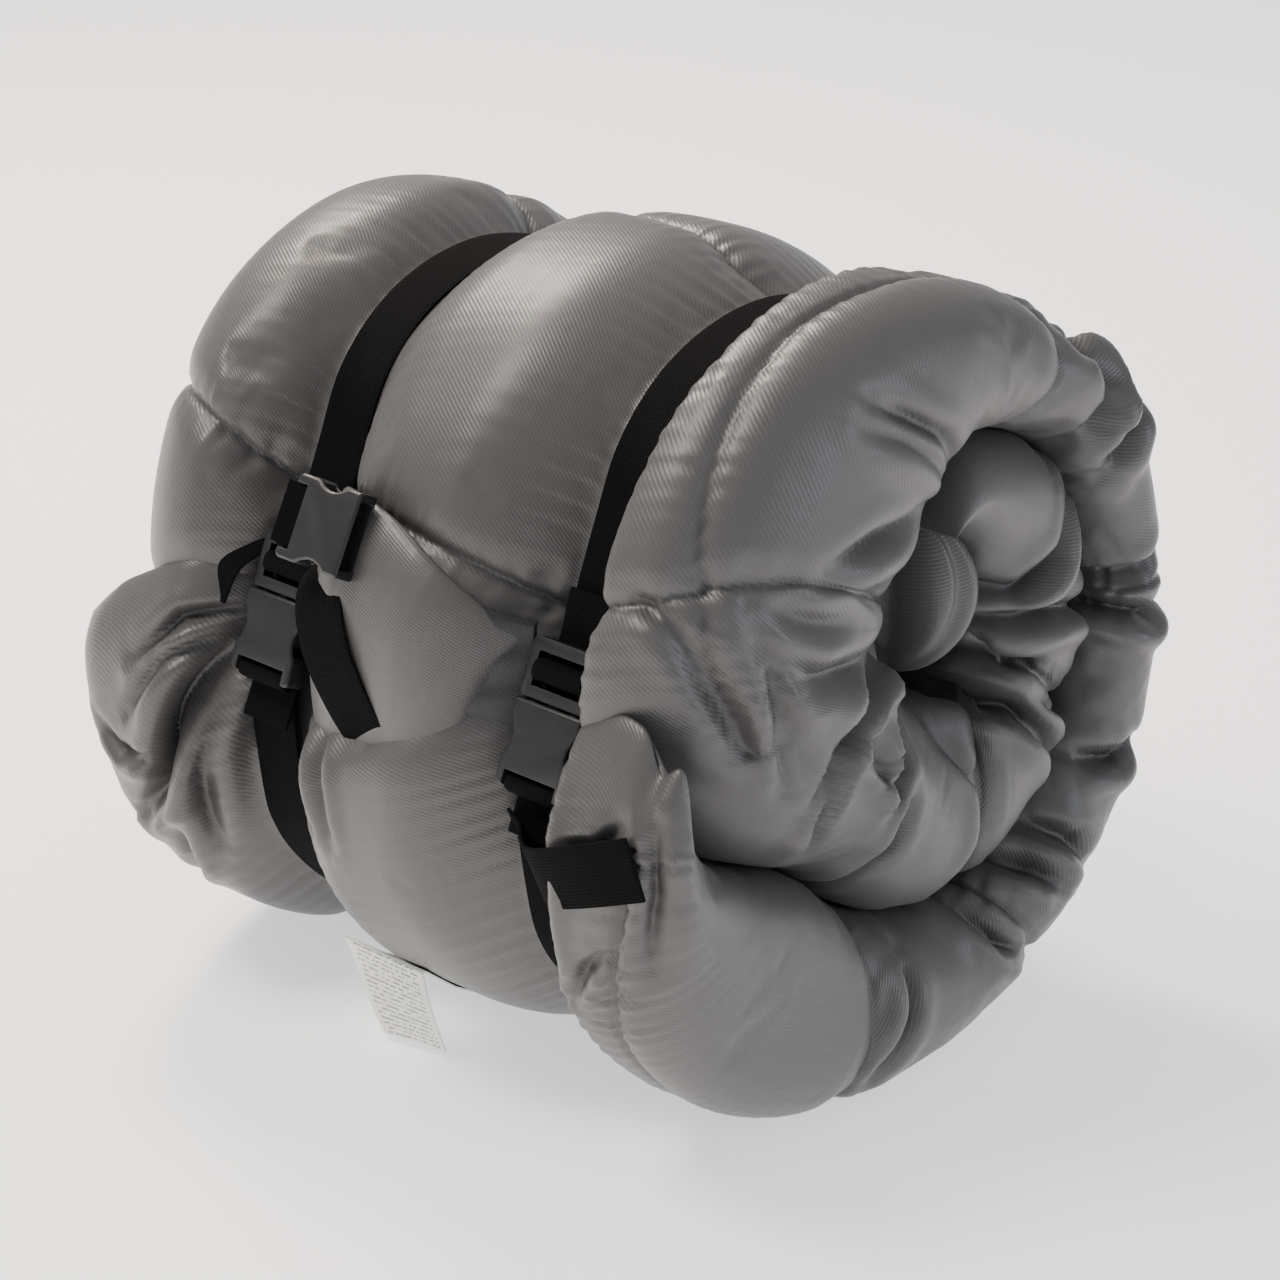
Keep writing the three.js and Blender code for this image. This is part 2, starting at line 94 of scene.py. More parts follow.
# %% [markdown]
# Colours are written as sRGB hex values, as a picture editor shows them. Blender's sockets want linear
# values, so one function turns them.

# %% Colour
def linear(hex_colour):
    """An sRGB hex colour as linear red, green, blue and alpha."""
    channels = [int(hex_colour[i:i + 2], 16) / 255 for i in (1, 3, 5)]
    return [c / 12.92 if c <= 0.04045 else ((c + 0.055) / 1.055) ** 2.4 for c in channels] + [1.0]


# %% [markdown]
# One small function adds a node, sets its values and links its inputs. A value that is another node's socket
# is linked, and anything else is set.

# %% Node helper
def node(material, kind, settings=None, **inputs):
    """Adds a node of that kind to a material. Inputs are named by their label, with _ for a space."""
    made = material.node_tree.nodes.new(kind)
    for name, value in (settings or {}).items():
        setattr(made, name, value)
    for name, value in inputs.items():
        socket = made.inputs[int(name[1:])] if name[1:].isdigit() else made.inputs[name.replace("_", " ")]
        if isinstance(value, bpy.types.NodeSocket):
            material.node_tree.links.new(value, socket)
        else:
            socket.default_value = value
    return made


def start_material(name):
    """An empty node material and its Principled shader."""
    material = bpy.data.materials.new(name)
    material.use_nodes = True
    shader = material.node_tree.nodes["Principled BSDF"]
    return material, shader


def link(material, socket, target):
    material.node_tree.links.new(socket, target)


def wave(material, vector, pitch, direction="X", **inputs):
    """Bands of that pitch in metres across a vector in metres."""
    made = node(
        material, "ShaderNodeTexWave", {"wave_type": "BANDS", "bands_direction": direction},
        Vector=vector, Scale=math.pi / 10 / pitch, **inputs)
    return made.outputs["Fac"]


def noise(material, vector, scale, detail):
    made = node(material, "ShaderNodeTexNoise", Vector=vector, Scale=scale, Detail=detail)
    return made.outputs["Fac"]


def maths(material, operation, first, second=0.5, third=0.5):
    made = node(material, "ShaderNodeMath", {"operation": operation}, _0=first, _1=second, _2=third)
    return made.outputs["Value"]


def in_range(material, value, low, high):
    made = node(material, "ShaderNodeMapRange", Value=value, To_Min=low, To_Max=high)
    return made.outputs["Result"]


def between(material, share, low, high, at=(0.0, 1.0)):
    """A colour that runs from one hex colour to another as a share grows."""
    ramp = node(material, "ShaderNodeValToRGB", Fac=share)
    for element, position, colour in zip(ramp.color_ramp.elements, at, (low, high)):
        element.position = position
        element.color = linear(colour)
    return ramp.outputs["Color"]


def mixed(material, blend, factor, first, second):
    made = node(
        material, "ShaderNodeMix", {"data_type": "RGBA", "blend_type": blend}, Factor=factor,
        _6=first, _7=second)
    return made.outputs[2]


def bumped(material, shader, height, strength, distance):
    bump = node(material, "ShaderNodeBump", Strength=strength, Distance=distance, Height=height)
    link(material, bump.outputs["Normal"], shader.inputs["Normal"])


# %% [markdown]
# Every piece is finished in the same way: a mesh becomes a smooth-shaded object, and the object gets its
# material, its body and the imported nodes that it stands for.

# %% Piece helpers
def add_object(name, bm):
    """A smooth-shaded object from a bmesh, which is freed."""
    mesh = bpy.data.meshes.new(name)
    bm.to_mesh(mesh)
    bm.free()
    mesh.polygons.foreach_set("use_smooth", [True] * len(mesh.polygons))
    made = bpy.data.objects.new(name, mesh)
    bpy.context.scene.collection.objects.link(made)
    return made


def fit_out(piece, material, body, slot, *replaced):
    piece.data.materials.append(material)
    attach(piece, body)
    if replaced:
        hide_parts(*replaced)


# %% Floor and lights
floor_grid = bmesh.new()
bmesh.ops.create_grid(floor_grid, x_segments=1, y_segments=1, size=6)
floor = add_object("floor", floor_grid)
floor_paper, floor_shader = start_material("floor_paper")
floor_shader.inputs["Base Color"].default_value = linear("#fbfbfa")
floor_shader.inputs["Roughness"].default_value = 0.9
floor_shader.inputs["Emission Color"].default_value = linear("#ffffff")
floor_shader.inputs["Emission Strength"].default_value = 0.85
floor.data.materials.append(floor_paper)
floor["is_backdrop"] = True

world = bpy.data.worlds.new("studio")
bpy.context.scene.world = world
world.use_nodes = True
world.node_tree.nodes["Background"].inputs[0].default_value = linear("#f4f6f8")
world.node_tree.nodes["Background"].inputs[1].default_value = 0.7


def soft_light(name, place, aim, size, power, colour):
    """A square area light at a place, facing a point."""
    data = bpy.data.lights.new(name, "AREA")
    data.size = size
    data.energy = power
    data.color = linear(colour)[:3]
    lamp = bpy.data.objects.new(name, data)
    bpy.context.scene.collection.objects.link(lamp)
    lamp.location = place
    lamp.rotation_mode = "QUATERNION"
    lamp.rotation_quaternion = (Vector(aim) - Vector(place)).to_track_quat("-Z", "Y")


soft_light("key", (-0.55, -0.75, 1.7), (0, 0, 0.2), 0.6, 28, "#fff4ea")
soft_light("top", (-1.15, 0.45, 1.5), (0, 0, 0.2), 0.45, 34, "#fff0e2")
soft_light("rim", (1.9, 0.5, 0.8), (0.1, 0, 0.15), 0.6, 9, "#e6eeff")

# %% [markdown]
# ## The quilt's section
# Seen from its right end, the quilt is a spiral. Angles are in degrees from +Y, anticlockwise from +X, and go
# on counting as the fold winds in: the tail's tip is at the front, one turn is 360. Radii are in millimetres
# from the roll's axis. Each short table is smoothed, because filled cloth has no corners.

# %% Section tables
MM = 0.001
STRAPS = (-68, 85)
TIP = 172
CORE = 828

OUTER = [
    (172, 146), (180, 157), (190, 163), (200, 168), (212, 171), (240, 172), (300, 171), (330, 167),
    (360, 165), (390, 167), (420, 170), (450, 173), (480, 168), (510, 152), (532, 143), (560, 134),
]
THICKNESS = [
    (172, 10), (180, 24), (190, 44), (200, 64), (212, 84), (230, 98), (250, 92), (265, 80), (298, 58),
    (318, 48), (337, 40), (360, 38), (390, 36), (405, 40), (419, 53), (434, 68), (450, 90),
]
VALLEY = [
    (172, 38), (180, 40), (190, 37), (200, 30), (212, 24), (240, 20), (270, 22), (360, 22), (455, 20),
    (476, 24), (490, 33), (502, 39), (515, 39), (530, 36), (545, 30), (560, 20), (600, 0),
]
END_ROUND = [
    (172, 14), (184, 18), (204, 32), (240, 38), (300, 34), (360, 28), (420, 30), (450, 42), (480, 50),
    (510, 58), (540, 62), (590, 56), (640, 42), (700, 34), (830, 30),
]
END_AT = [
    (172, 170), (300, 169), (400, 170), (450, 172), (560, 172), (640, 168), (700, 165), (830, 163),
]
SIZE = [(-172, 0.925), (-130, 0.95), (-90, 0.955), (-20, 0.965), (60, 0.97), (110, 0.985), (150, 1.0)]
AXIS_HEIGHT = [(-172, 155.5), (-120, 156), (-85, 158.5), (-50, 160), (8, 165), (68, 164), (172, 163.5)]

# The innermost turn winds round a middle of its own, behind and above the roll's axis.
CORE_MIDDLE = (35, 21.5)
CORE_RADIUS = [
    (410, 100), (450, 80), (467, 60), (485, 48), (525, 32), (582, 28), (625, 34), (665, 34), (700, 16),
    (740, 12), (780, 24), (805, 38), (830, 48),
]


def smoothed(points, blur):
    """A table's smooth curve: straight between its points, then blurred by that many steps."""
    at, value = np.array(points, float).T
    steps = np.arange(at[0] - 4 * blur, at[-1] + 4 * blur + 1)
    weights = np.exp(-0.5 * (np.arange(-3 * blur, 3 * blur + 1) / blur) ** 2)
    raw = np.interp(steps, at, value)
    padded = np.pad(raw, 3 * blur, mode="edge")
    soft = np.convolve(padded, weights / weights.sum(), mode="valid")
    return lambda x: np.interp(x, steps, soft)


outer_table = smoothed(OUTER, 6)
thickness_table = smoothed(THICKNESS, 6)
valley_table = smoothed(VALLEY, 5)
end_table = smoothed(END_ROUND, 10)
end_at_table = smoothed(END_AT, 12)
core_table = smoothed(CORE_RADIUS, 7)
size_table = smoothed(SIZE, 12)
axis_table = smoothed(AXIS_HEIGHT, 12)


def ease(t):
    """0 to 1 with a soft start and end."""
    t = np.clip(t, 0, 1)
    return t * t * (3 - 2 * t)


# %% [markdown]
# A strap draws the cloth in. The bottom of its valley is as wide as the webbing, and the puffs beside it
# swell back up in a rounded slope. The end puff is short and fat, so its slope is the steepest.

# %% Valleys and the tail's edge
VALLEY_FLAT = 14.5
REACH = ((50, 58), (66, 28))      # to the left and right of each strap


def valley(x, angle):
    """1 under a strap, 0 where the puff is full."""
    total = np.zeros_like(x)
    for strap, (left, right) in zip(STRAPS, REACH):
        side = x - strap
        reach = np.where(side < 0, left, right)
        t = np.clip((np.abs(side) - VALLEY_FLAT) / (reach - VALLEY_FLAT), 0, 1)
        total = np.maximum(total, (1 - t) ** 2.4 * (1 + t))
    return total


TIP_LINE = [
    (-172, 180), (-150, 171), (-115, 163), (-85, 162), (-68, 176), (-50, 185), (-20, 182), (8, 181),
    (37, 176), (58, 173), (70, 174), (85, 175), (110, 168), (130, 163), (146, 164), (154, 172),
    (161, 166), (167, 170), (172, 184),
]
tip_line = smoothed(TIP_LINE, 3)
TAIL_BLEND = 45


def true_angle(turn, x):
    """Moves the tail's end so that its edge rises and dips between the straps."""
    share = 1 - ease((turn - TIP) / TAIL_BLEND)
    return turn + (tip_line(x) - TIP) * share


def outer_radius(angle, x):
    return outer_table(angle) * size_table(x) - valley(x, angle) * valley_table(angle)


def inner_radius(angle, x):
    squeezed = thickness_table(angle) * size_table(x) - 0.85 * valley(x, angle) * valley_table(angle)
    return outer_radius(angle, x) - np.maximum(squeezed, 6)


def polar(radius, angle, middle=(0, 0)):
    """Points (y, z) from the roll's axis."""
    a = np.radians(angle)
    return np.stack([middle[0] + radius * np.cos(a), middle[1] + radius * np.sin(a)], axis=-1)


def inner_face(angle, x):
    """The fold's inner face: a thickness in from the outer one, and round the core further in."""
    share = ease((angle - 410) / 45)[..., None]
    turning = polar(inner_radius(angle, x), angle)
    return turning * (1 - share) + polar(core_table(angle), angle, CORE_MIDDLE) * share


TURN_GAP = 2.0


def outer_face(angle, x):
    """The fold's outer face: free on the outermost turn, and against the turn outside it further in."""
    free = polar(outer_radius(angle, x), angle)
    under = inner_face(angle - 360, x)
    inwards = np.array(CORE_MIDDLE) - under
    under = under + inwards / np.linalg.norm(inwards, axis=-1, keepdims=True) * TURN_GAP
    covered = ease((angle - 360 - tip_line(x) + 4) / 14)[..., None]
    return free * (1 - covered) + under * covered


# %% [markdown]
# ## The puffed cloth
# The fold is one closed bag. It starts as a flat grid, whose one side runs along the spiral and whose other
# side runs round the bag: along the outer face, round the right end, back along the inner face and round the
# left end. Bending that grid keeps the threads' directions, which the weave needs later.

# %% Ring stations
def ring_stations():
    """For each point round the bag: its share along the flat face, its end angle, its end and its face."""
    rows = []
    flat = np.linspace(-1, 1, FACE_POINTS)
    rows += [(t, 0, 0, 1) for t in flat]
    turn = np.linspace(0, math.pi, END_POINTS + 2)[1:-1]
    rows += [(1, a, 1, math.cos(a)) for a in turn]
    rows += [(-t, 0, 0, -1) for t in np.linspace(-1, 1, BACK_POINTS)]
    rows += [(-1, a, -1, -math.cos(a)) for a in turn]
    rows.append(rows[0])
    return np.array(rows, float)


FACE_POINTS = 96
END_POINTS = 26
BACK_POINTS = 26
ring = ring_stations()
# the grid closes on the inner face, where nothing is seen
ring = np.roll(ring[:-1], BACK_POINTS // 2 + END_POINTS, axis=0)
ring = np.vstack([ring, ring[:1]])
turns = np.concatenate([
    np.array([TIP, TIP + 0.3, TIP + 1.2]), np.arange(TIP + 2.6, 540, 1.35), np.arange(540, CORE, 2.1), [CORE],
])
print("grid:", len(turns), "x", len(ring))


# %% Bend the grid into the spiral
TIP_ROUND = 9                     # degrees over which the tail's edge closes
CORE_ROUND = 26


def spiral_point(turn, station):
    """The point in millimetres for each pair of a turn angle and a ring station."""
    share, end_angle, end, side = station.T
    turn, share = np.broadcast_arrays(turn[:, None], share[None, :])
    rounding = end_table(turn)
    x = share * (end_at_table(turn) - rounding) + end[None, :] * rounding * np.sin(end_angle)[None, :]
    angle = true_angle(turn, x)
    outer, inner = outer_face(angle, x), inner_face(angle, x)
    at_tip = np.sqrt(np.clip(1 - (1 - np.clip((turn - TIP) / TIP_ROUND, 0, 1)) ** 2, 0, 1))
    at_core = np.sqrt(np.clip(1 - (1 - np.clip((CORE - turn) / CORE_ROUND, 0, 1)) ** 2, 0, 1))
    out = (side[None, :] * at_tip * at_core)[..., None]
    section = (outer + inner) / 2 + (outer - inner) / 2 * out
    return np.stack([x, section[..., 0], axis_table(x) + section[..., 1]], axis=-1), angle


points, angles = spiral_point(turns, ring)
FLOOR_CLEAR = 0.4
FLOOR_SOFT = 8                    # the height over which the ground flattens the cloth
points[..., 2] = np.where(
    points[..., 2] < FLOOR_SOFT,
    FLOOR_CLEAR + 0.95 * FLOOR_SOFT * np.exp((points[..., 2] - FLOOR_SOFT) / FLOOR_SOFT), points[..., 2])
along_fold = np.concatenate([[0], np.cumsum(np.linalg.norm(np.diff(points, axis=0), axis=2).mean(1))])
round_bag = np.concatenate(
    [np.zeros((len(turns), 1)), np.cumsum(np.linalg.norm(np.diff(points, axis=1), axis=2), axis=1)], axis=1)
middle_column = int(np.argmin(np.abs(ring[:, 0]) + (ring[:, 3] < 0.5) * 9))
round_bag -= round_bag[:, middle_column:middle_column + 1]
print("fold length", round(along_fold[-1]), "mm")


# %% Grid to mesh
def grid_object(name, grid, cloth_u, cloth_v, marks={}, weld=0):
    """A mesh from a grid of points in millimetres, with its cloth coordinates as a UV map in metres and its
    marks as vertex attributes. With a weld distance, meeting edges are joined and open ends closed."""
    rows, columns = grid.shape[:2]
    bm = bmesh.new()
    uv_layer = bm.loops.layers.uv.new("cloth")
    layers = {key: bm.verts.layers.float.new(key) for key in marks}
    bmesh.ops.create_grid(bm, x_segments=columns - 1, y_segments=rows - 1, size=0.5)
    order = sorted(
        bm.verts, key=lambda v: (round((v.co.y + 0.5) * (rows - 1)), round((v.co.x + 0.5) * (columns - 1))))
    flat = (grid.reshape(-1, 3) * MM).tolist()
    u_flat, v_flat = (cloth_u.ravel() * MM).tolist(), (cloth_v.ravel() * MM).tolist()
    place = {}
    for i, vert in enumerate(order):
        place[vert] = i
        vert.co = flat[i]
        for key, layer in layers.items():
            vert[layer] = float(marks[key].flat[i])
    for face in bm.faces:
        for loop in face.loops:
            i = place[loop.vert]
            loop[uv_layer].uv = (u_flat[i], v_flat[i])
    if weld:
        bmesh.ops.remove_doubles(bm, verts=bm.verts, dist=weld * MM)
        open_edges = [e for e in bm.edges if e.is_boundary]
        if open_edges:
            bmesh.ops.holes_fill(bm, edges=open_edges, sides=0)
    bmesh.ops.recalc_face_normals(bm, faces=bm.faces)
    return add_object(name, bm)


WELD = 0.02
cloth_v = np.broadcast_to(along_fold[:, None], round_bag.shape)
face_mark = np.broadcast_to(ring[:, 3][None, :], angles.shape)
quilt = grid_object("quilt", points, round_bag, cloth_v, {
    "turn": angles, "face": face_mark}, WELD)
print("quilt:", len(quilt.data.vertices), "vertices")

# %% [markdown]
# The filling presses the cloth out, and the cloth is a little longer than the room it has, so it wrinkles
# where something holds it: under the straps and along the quilting seams. A short cloth simulation does
# this: the held points stay, the rest swells under pressure with a few per cent of extra cloth, and no
# point may travel further than the filling lets it.

# %% Read a mesh as arrays
def read(mesh, key):
    """The places in millimetres, the normals or a vertex attribute, as an array."""
    if key in ("co", "normal"):
        values = np.zeros(len(mesh.vertices) * 3)
        mesh.vertices.foreach_get(key, values)
        return values.reshape(-1, 3) / (MM if key == "co" else 1)
    values = np.zeros(len(mesh.vertices))
    mesh.attributes[key].data.foreach_get("value", values)
    return values


def write_places(mesh, places):
    mesh.vertices.foreach_set("co", (places * MM).ravel())
    mesh.update()


# %% [markdown]
# Quilting seams run along the roll, one about every 190 mm of cloth. Each is a list of places along the
# roll and the angle there. The first one shows across the front; the others are over the top and the back.

# %% Quilting seams
SEAM_FRONT = [
    (-172, 494), (-126, 498), (-86, 504), (-6, 508), (48, 511), (85, 513), (133, 507), (150, 503), (172, 498),
]
SEAM_TOP = [(-172, 424), (-99, 428), (-22, 438), (50, 442), (110, 436), (172, 418)]
SEAM_BACK = [(-172, 358), (-60, 352), (50, 362), (172, 366)]
SEAM_LOW = [(-172, 300), (0, 292), (172, 302)]
SEAM_UNDER = [(-172, 254), (0, 250), (172, 258)]
CROSS_SEAMS = [SEAM_FRONT, SEAM_TOP, SEAM_BACK, SEAM_LOW, SEAM_UNDER]
CORE_SEAMS = [652, 702]

# the hem seam: it runs round the roll near the right end, [angle, place along the roll]
HEM_SEAM = [
    (180, 152), (190, 150), (200, 143), (212, 134), (240, 128), (300, 130), (450, 130), (462, 127),
    (476, 132), (489, 138), (500, 144), (507, 149), (518, 156), (532, 163),
]


def seam_distance(turn, x, table, along_x):
    """Signed distance in millimetres of each point from a seam on the outer face."""
    at, value = np.array(table, float).T
    if along_x:
        return (turn - np.interp(x, at, value)) * MM_PER_DEGREE
    return x - np.interp(turn, at, value)


MM_PER_DEGREE = 2.85

turn = read(quilt.data, "turn")
face = read(quilt.data, "face")
place = read(quilt.data, "co")
x = place[:, 0]
outside = (face > 0) & (turn < 545)

strap_hold = np.zeros(len(x))
for strap in STRAPS:
    strap_hold = np.maximum(strap_hold, ease((VALLEY_FLAT + 4 - np.abs(x - strap)) / 4))
seam_hold = np.zeros(len(x))
for seam in CROSS_SEAMS:
    seam_hold = np.maximum(seam_hold, ease((3.5 - np.abs(seam_distance(turn, x, seam, True))) / 2.5))
for at in CORE_SEAMS:
    seam_hold = np.maximum(seam_hold, ease((3.5 - np.abs(turn - at) * 1.6) / 2.5))
in_hem = (turn > HEM_SEAM[0][0]) & (turn < HEM_SEAM[-1][0])
hem_hold = np.where(in_hem, ease((3 - np.abs(seam_distance(turn, x, HEM_SEAM, False))) / 2.5), 0)
inner_hidden = ((face < 0) | (turn > 545)) & (np.abs(x) < 118)
hold = np.maximum.reduce([strap_hold * outside, seam_hold, hem_hold * (face > 0), inner_hidden.astype(float)])

# %% Draw the seams in before the cloth swells
normal = read(quilt.data, "normal")
SEAM_DEPTH = 3.5
HEM_DEPTH = 2.2


def groove(distance, width):
    return np.exp(-(distance / width) ** 2)


drawn = np.zeros(len(x))
for seam in CROSS_SEAMS:
    drawn += SEAM_DEPTH * groove(seam_distance(turn, x, seam, True), 9)
for at in CORE_SEAMS:
    drawn += 7 * groove((turn - at) * 1.6, 8)
drawn += np.where(in_hem & (face > 0), HEM_DEPTH * groove(seam_distance(turn, x, HEM_SEAM, False), 7), 0)
place = place - normal * drawn[:, None]
write_places(quilt.data, place)


# %% Swell
FRAMES = 16
GROWTH_SMOOTH = -0.006            # the broad puffs over the top and round the back
GROWTH_LOOSE = -0.075             # the right end and the tail, where the cloth is bunched
PRESSURE = 3.0
TRAVEL = 6.5


def weight_group(piece, name, weights):
    """A vertex group whose weights are rounded to tenths."""
    group = piece.vertex_groups.new(name=name)
    for level in range(1, 11):
        chosen = np.where(np.round(weights * 10) == level)[0]
        if len(chosen):
            group.add(chosen.tolist(), level / 10, "REPLACE")
    return group


def swell(piece, held, loose, pressure, travel, frames):
    """Runs a cloth simulation on a closed mesh, applies it, and caps how far each point has moved."""
    rest = read(piece.data, "co")
    groups = [weight_group(piece, "held", held), weight_group(piece, "loose", loose)]
    cloth = piece.modifiers.new("cloth", "CLOTH")
    settings = cloth.settings
    settings.quality = 4
    settings.mass = 0.25
    settings.tension_stiffness = 12
    settings.compression_stiffness = 12
    settings.shear_stiffness = 4
    settings.bending_stiffness = 0.15
    settings.vertex_group_mass = "held"
    settings.pin_stiffness = 1.0
    settings.vertex_group_shrink = "loose"
    settings.shrink_min = GROWTH_SMOOTH
    settings.shrink_max = GROWTH_LOOSE
    settings.use_pressure = True
    settings.uniform_pressure_force = pressure
    settings.effector_weights.gravity = 0
    cloth.point_cache.frame_start = 1
    cloth.point_cache.frame_end = frames
    scene = bpy.context.scene
    for frame_number in range(1, frames + 1):
        scene.frame_set(frame_number)
    graph = bpy.context.evaluated_depsgraph_get()
    settled = piece.evaluated_get(graph)
    moved = read(settled.data, "co")
    piece.modifiers.remove(cloth)
    for group in groups:
        piece.vertex_groups.remove(group)
    scene.frame_set(1)
    step = moved - rest
    length = np.linalg.norm(step, axis=1, keepdims=True)
    limited = step * (np.tanh(length / travel) * travel / np.maximum(length, 1e-6))
    write_places(piece.data, rest + limited)
    print(piece.name, "swelled by up to", round(float(np.linalg.norm(limited, axis=1).max()), 1), "mm")


loose = np.maximum(ease((x - 122) / 20), ease((228 - turn) / 18))
loose = np.maximum(loose, ease((turn - 500) / 12) * ease((x - 90) / 20))
swell(quilt, hold, loose, PRESSURE, TRAVEL, FRAMES)

# %% [markdown]
# One subdivision rounds the cloth. What is finer than the simulation's threads comes after it: the sharp
# line of each seam, the short gathers that stand across it, and the gathers beside the straps.

# %% Subdivide
def subdivide(piece):
    """Subdivides a piece once, for good."""
    modifier = piece.modifiers.new("round", "SUBSURF")
    modifier.levels = modifier.render_levels = 1
    graph = bpy.context.evaluated_depsgraph_get()
    fine = bpy.data.meshes.new_from_object(
        piece.evaluated_get(graph), preserve_all_data_layers=True, depsgraph=graph)
    piece.modifiers.remove(modifier)
    coarse = piece.data
    piece.data = fine
    bpy.data.meshes.remove(coarse)
    fine.name = piece.name
    fine.polygons.foreach_set("use_smooth", [True] * len(fine.polygons))


subdivide(quilt)


# %% Gathers
def waves(along, spacing, seed):
    """Uneven waves of about that spacing, from -1 to 1: three sine waves whose phases drift."""
    rng = np.random.default_rng(seed)
    phase = rng.uniform(0, 2 * math.pi, 6)
    drift = 1.6 * np.sin(along / (spacing * 4.1) + phase[0])
    drift = drift + 1.1 * np.sin(along / (spacing * 1.9) + phase[1])
    base = np.sin(2 * math.pi * along / spacing + drift + phase[2])
    second = np.sin(2 * math.pi * along / (spacing * 0.61) - drift + phase[3])
    beat = np.sin(along / (spacing * 2.3) + phase[4]) * np.sin(along / (spacing * 5.3) + phase[5])
    return (0.7 * base + 0.3 * second) * (0.55 + 0.45 * beat)


def gathers(distance, along, spacing, height, reach, seed):
    """Small ridges across a seam, highest beside it and fading out over uneven lengths."""
    uneven = reach * (0.7 + 0.5 * waves(along + 40, spacing * 2.7, seed + 1))
    away = np.abs(distance)
    fade = np.exp(-away / np.maximum(uneven, 2)) * (1 - np.exp(-(away / 1.5) ** 2))
    shift = np.sign(distance) * away * 0.18
    return height * fade * waves(along + shift + np.where(distance > 0, 3.1, 0), spacing, seed)


turn = read(quilt.data, "turn")
face = read(quilt.data, "face")
place = read(quilt.data, "co")
normal = read(quilt.data, "normal")
x = place[:, 0]
arc = turn * MM_PER_DEGREE
lift = np.zeros(len(x))

for number, seam in enumerate(CROSS_SEAMS):
    distance = seam_distance(turn, x, seam, True)
    lift -= 2.2 * groove(distance, 2.2)
    lift += gathers(distance, x, 8.5, 1.5, 13, 10 + number)
for number, at in enumerate(CORE_SEAMS):
    distance = (turn - at) * 1.7
    lift -= 3 * groove(distance, 3)
    lift += gathers(distance, x * 0.6 + place[:, 1], 7, 1.6, 12, 30 + number)
in_hem = (turn > HEM_SEAM[0][0]) & (turn < HEM_SEAM[-1][0]) & (face > 0)
distance = seam_distance(turn, x, HEM_SEAM, False)
tail_hem = ease((225 - turn) / 12)
hem_gathers = gathers(distance, arc, 8, 0.9 + 1.6 * tail_hem, 12 + 10 * tail_hem, 41)
lift += np.where(in_hem, hem_gathers - 2.4 * groove(distance, 2.0), 0)

on_face = (face > 0) & (turn < 545)
for number, strap in enumerate(STRAPS):
    distance = x - strap
    beside = np.clip(np.abs(distance) - VALLEY_FLAT, 0, None)
    ridges = waves(arc + 0.3 * distance, 9.5, 50 + number)
    ridges = ridges * np.exp(-beside / 16) * (1 - np.exp(-beside / 2.5))
    lift += np.where(on_face, 1.5 * ridges, 0)

# %% [markdown]
# Bunched cloth also folds over itself in short sharp creases. On the right end each is a line of (y, z)
# stops seen from the end; on the tail it is a line of (place along the roll, angle) stops. A crease is a
# narrow groove with a low ridge beside it and a line of painted shade along it, and it fades out at both
# ends.

# %% Creases
END_CREASES = [                   # width, depth, stops
    (4.5, 6, [(-66, 250), (-42, 254), (-20, 252), (6, 255)]),
    (3.5, 5, [(-36, 306), (-20, 297), (0, 284), (16, 266)]),
    (3.5, 4, [(-42, 298), (-24, 289), (-6, 277), (10, 262)]),
    (6.0, 6, [(-98, 227), (-74, 210), (-44, 203), (-10, 200)]),
    (6.0, 4, [(-98, 245), (-76, 232), (-50, 222)]),
    (3.0, 4, [(-95, 216), (-92, 190), (-86, 166)]),
    (4.0, 8, [(-74, 150), (-59, 176), (-38, 190), (-10, 197)]),
    (4.0, 8, [(-8, 196), (-13, 174), (-16, 152), (-24, 132)]),
    (3.0, 5, [(-45, 176), (-34, 160), (-21, 144)]),
    (3.5, 5, [(-10, 141), (-19, 117), (-32, 94)]),
    (3.0, 4, [(-60, 165), (-66, 145), (-62, 128)]),
    (3.0, 3, [(-126, 255), (-116, 216), (-98, 177)]),
    (3.0, 3, [(-100, 244), (-93, 208), (-76, 168)]),
    (3.5, 4, [(22, 150), (38, 126), (38, 100), (28, 78)]),
    (4.0, 7, [(36, 186), (60, 186), (90, 182), (122, 173)]),
    (4.0, 6, [(38, 203), (64, 197), (88, 208), (106, 230)]),
    (3.0, 5, [(48, 174), (62, 168), (76, 162)]),
    (4.0, 8, [(16, 164), (42, 156), (64, 146), (84, 128), (98, 106)]),
    (3.0, 4, [(74, 150), (92, 138), (106, 122)]),
    (5.0, 9, [(116, 234), (130, 260), (134, 288)]),
    (6.0, 9, [(98, 250), (110, 270), (104, 290), (90, 306)]),
    (4.0, 6, [(118, 300), (110, 284), (120, 268)]),
    (3.5, 5, [(120, 180), (146, 186), (158, 196)]),
    (4.0, 7, [(114, 174), (148, 163), (174, 172)]),
    (4.0, 6, [(112, 106), (132, 102), (150, 106)]),
    (4.0, 6, [(88, 84), (104, 74), (114, 60)]),
    (4.0, 5, [(66, 75), (82, 68), (94, 58)]),
    (4.0, 6, [(44, 64), (56, 46), (74, 34)]),
    (4.0, 6, [(2, 60), (-6, 40), (-22, 14)]),
]
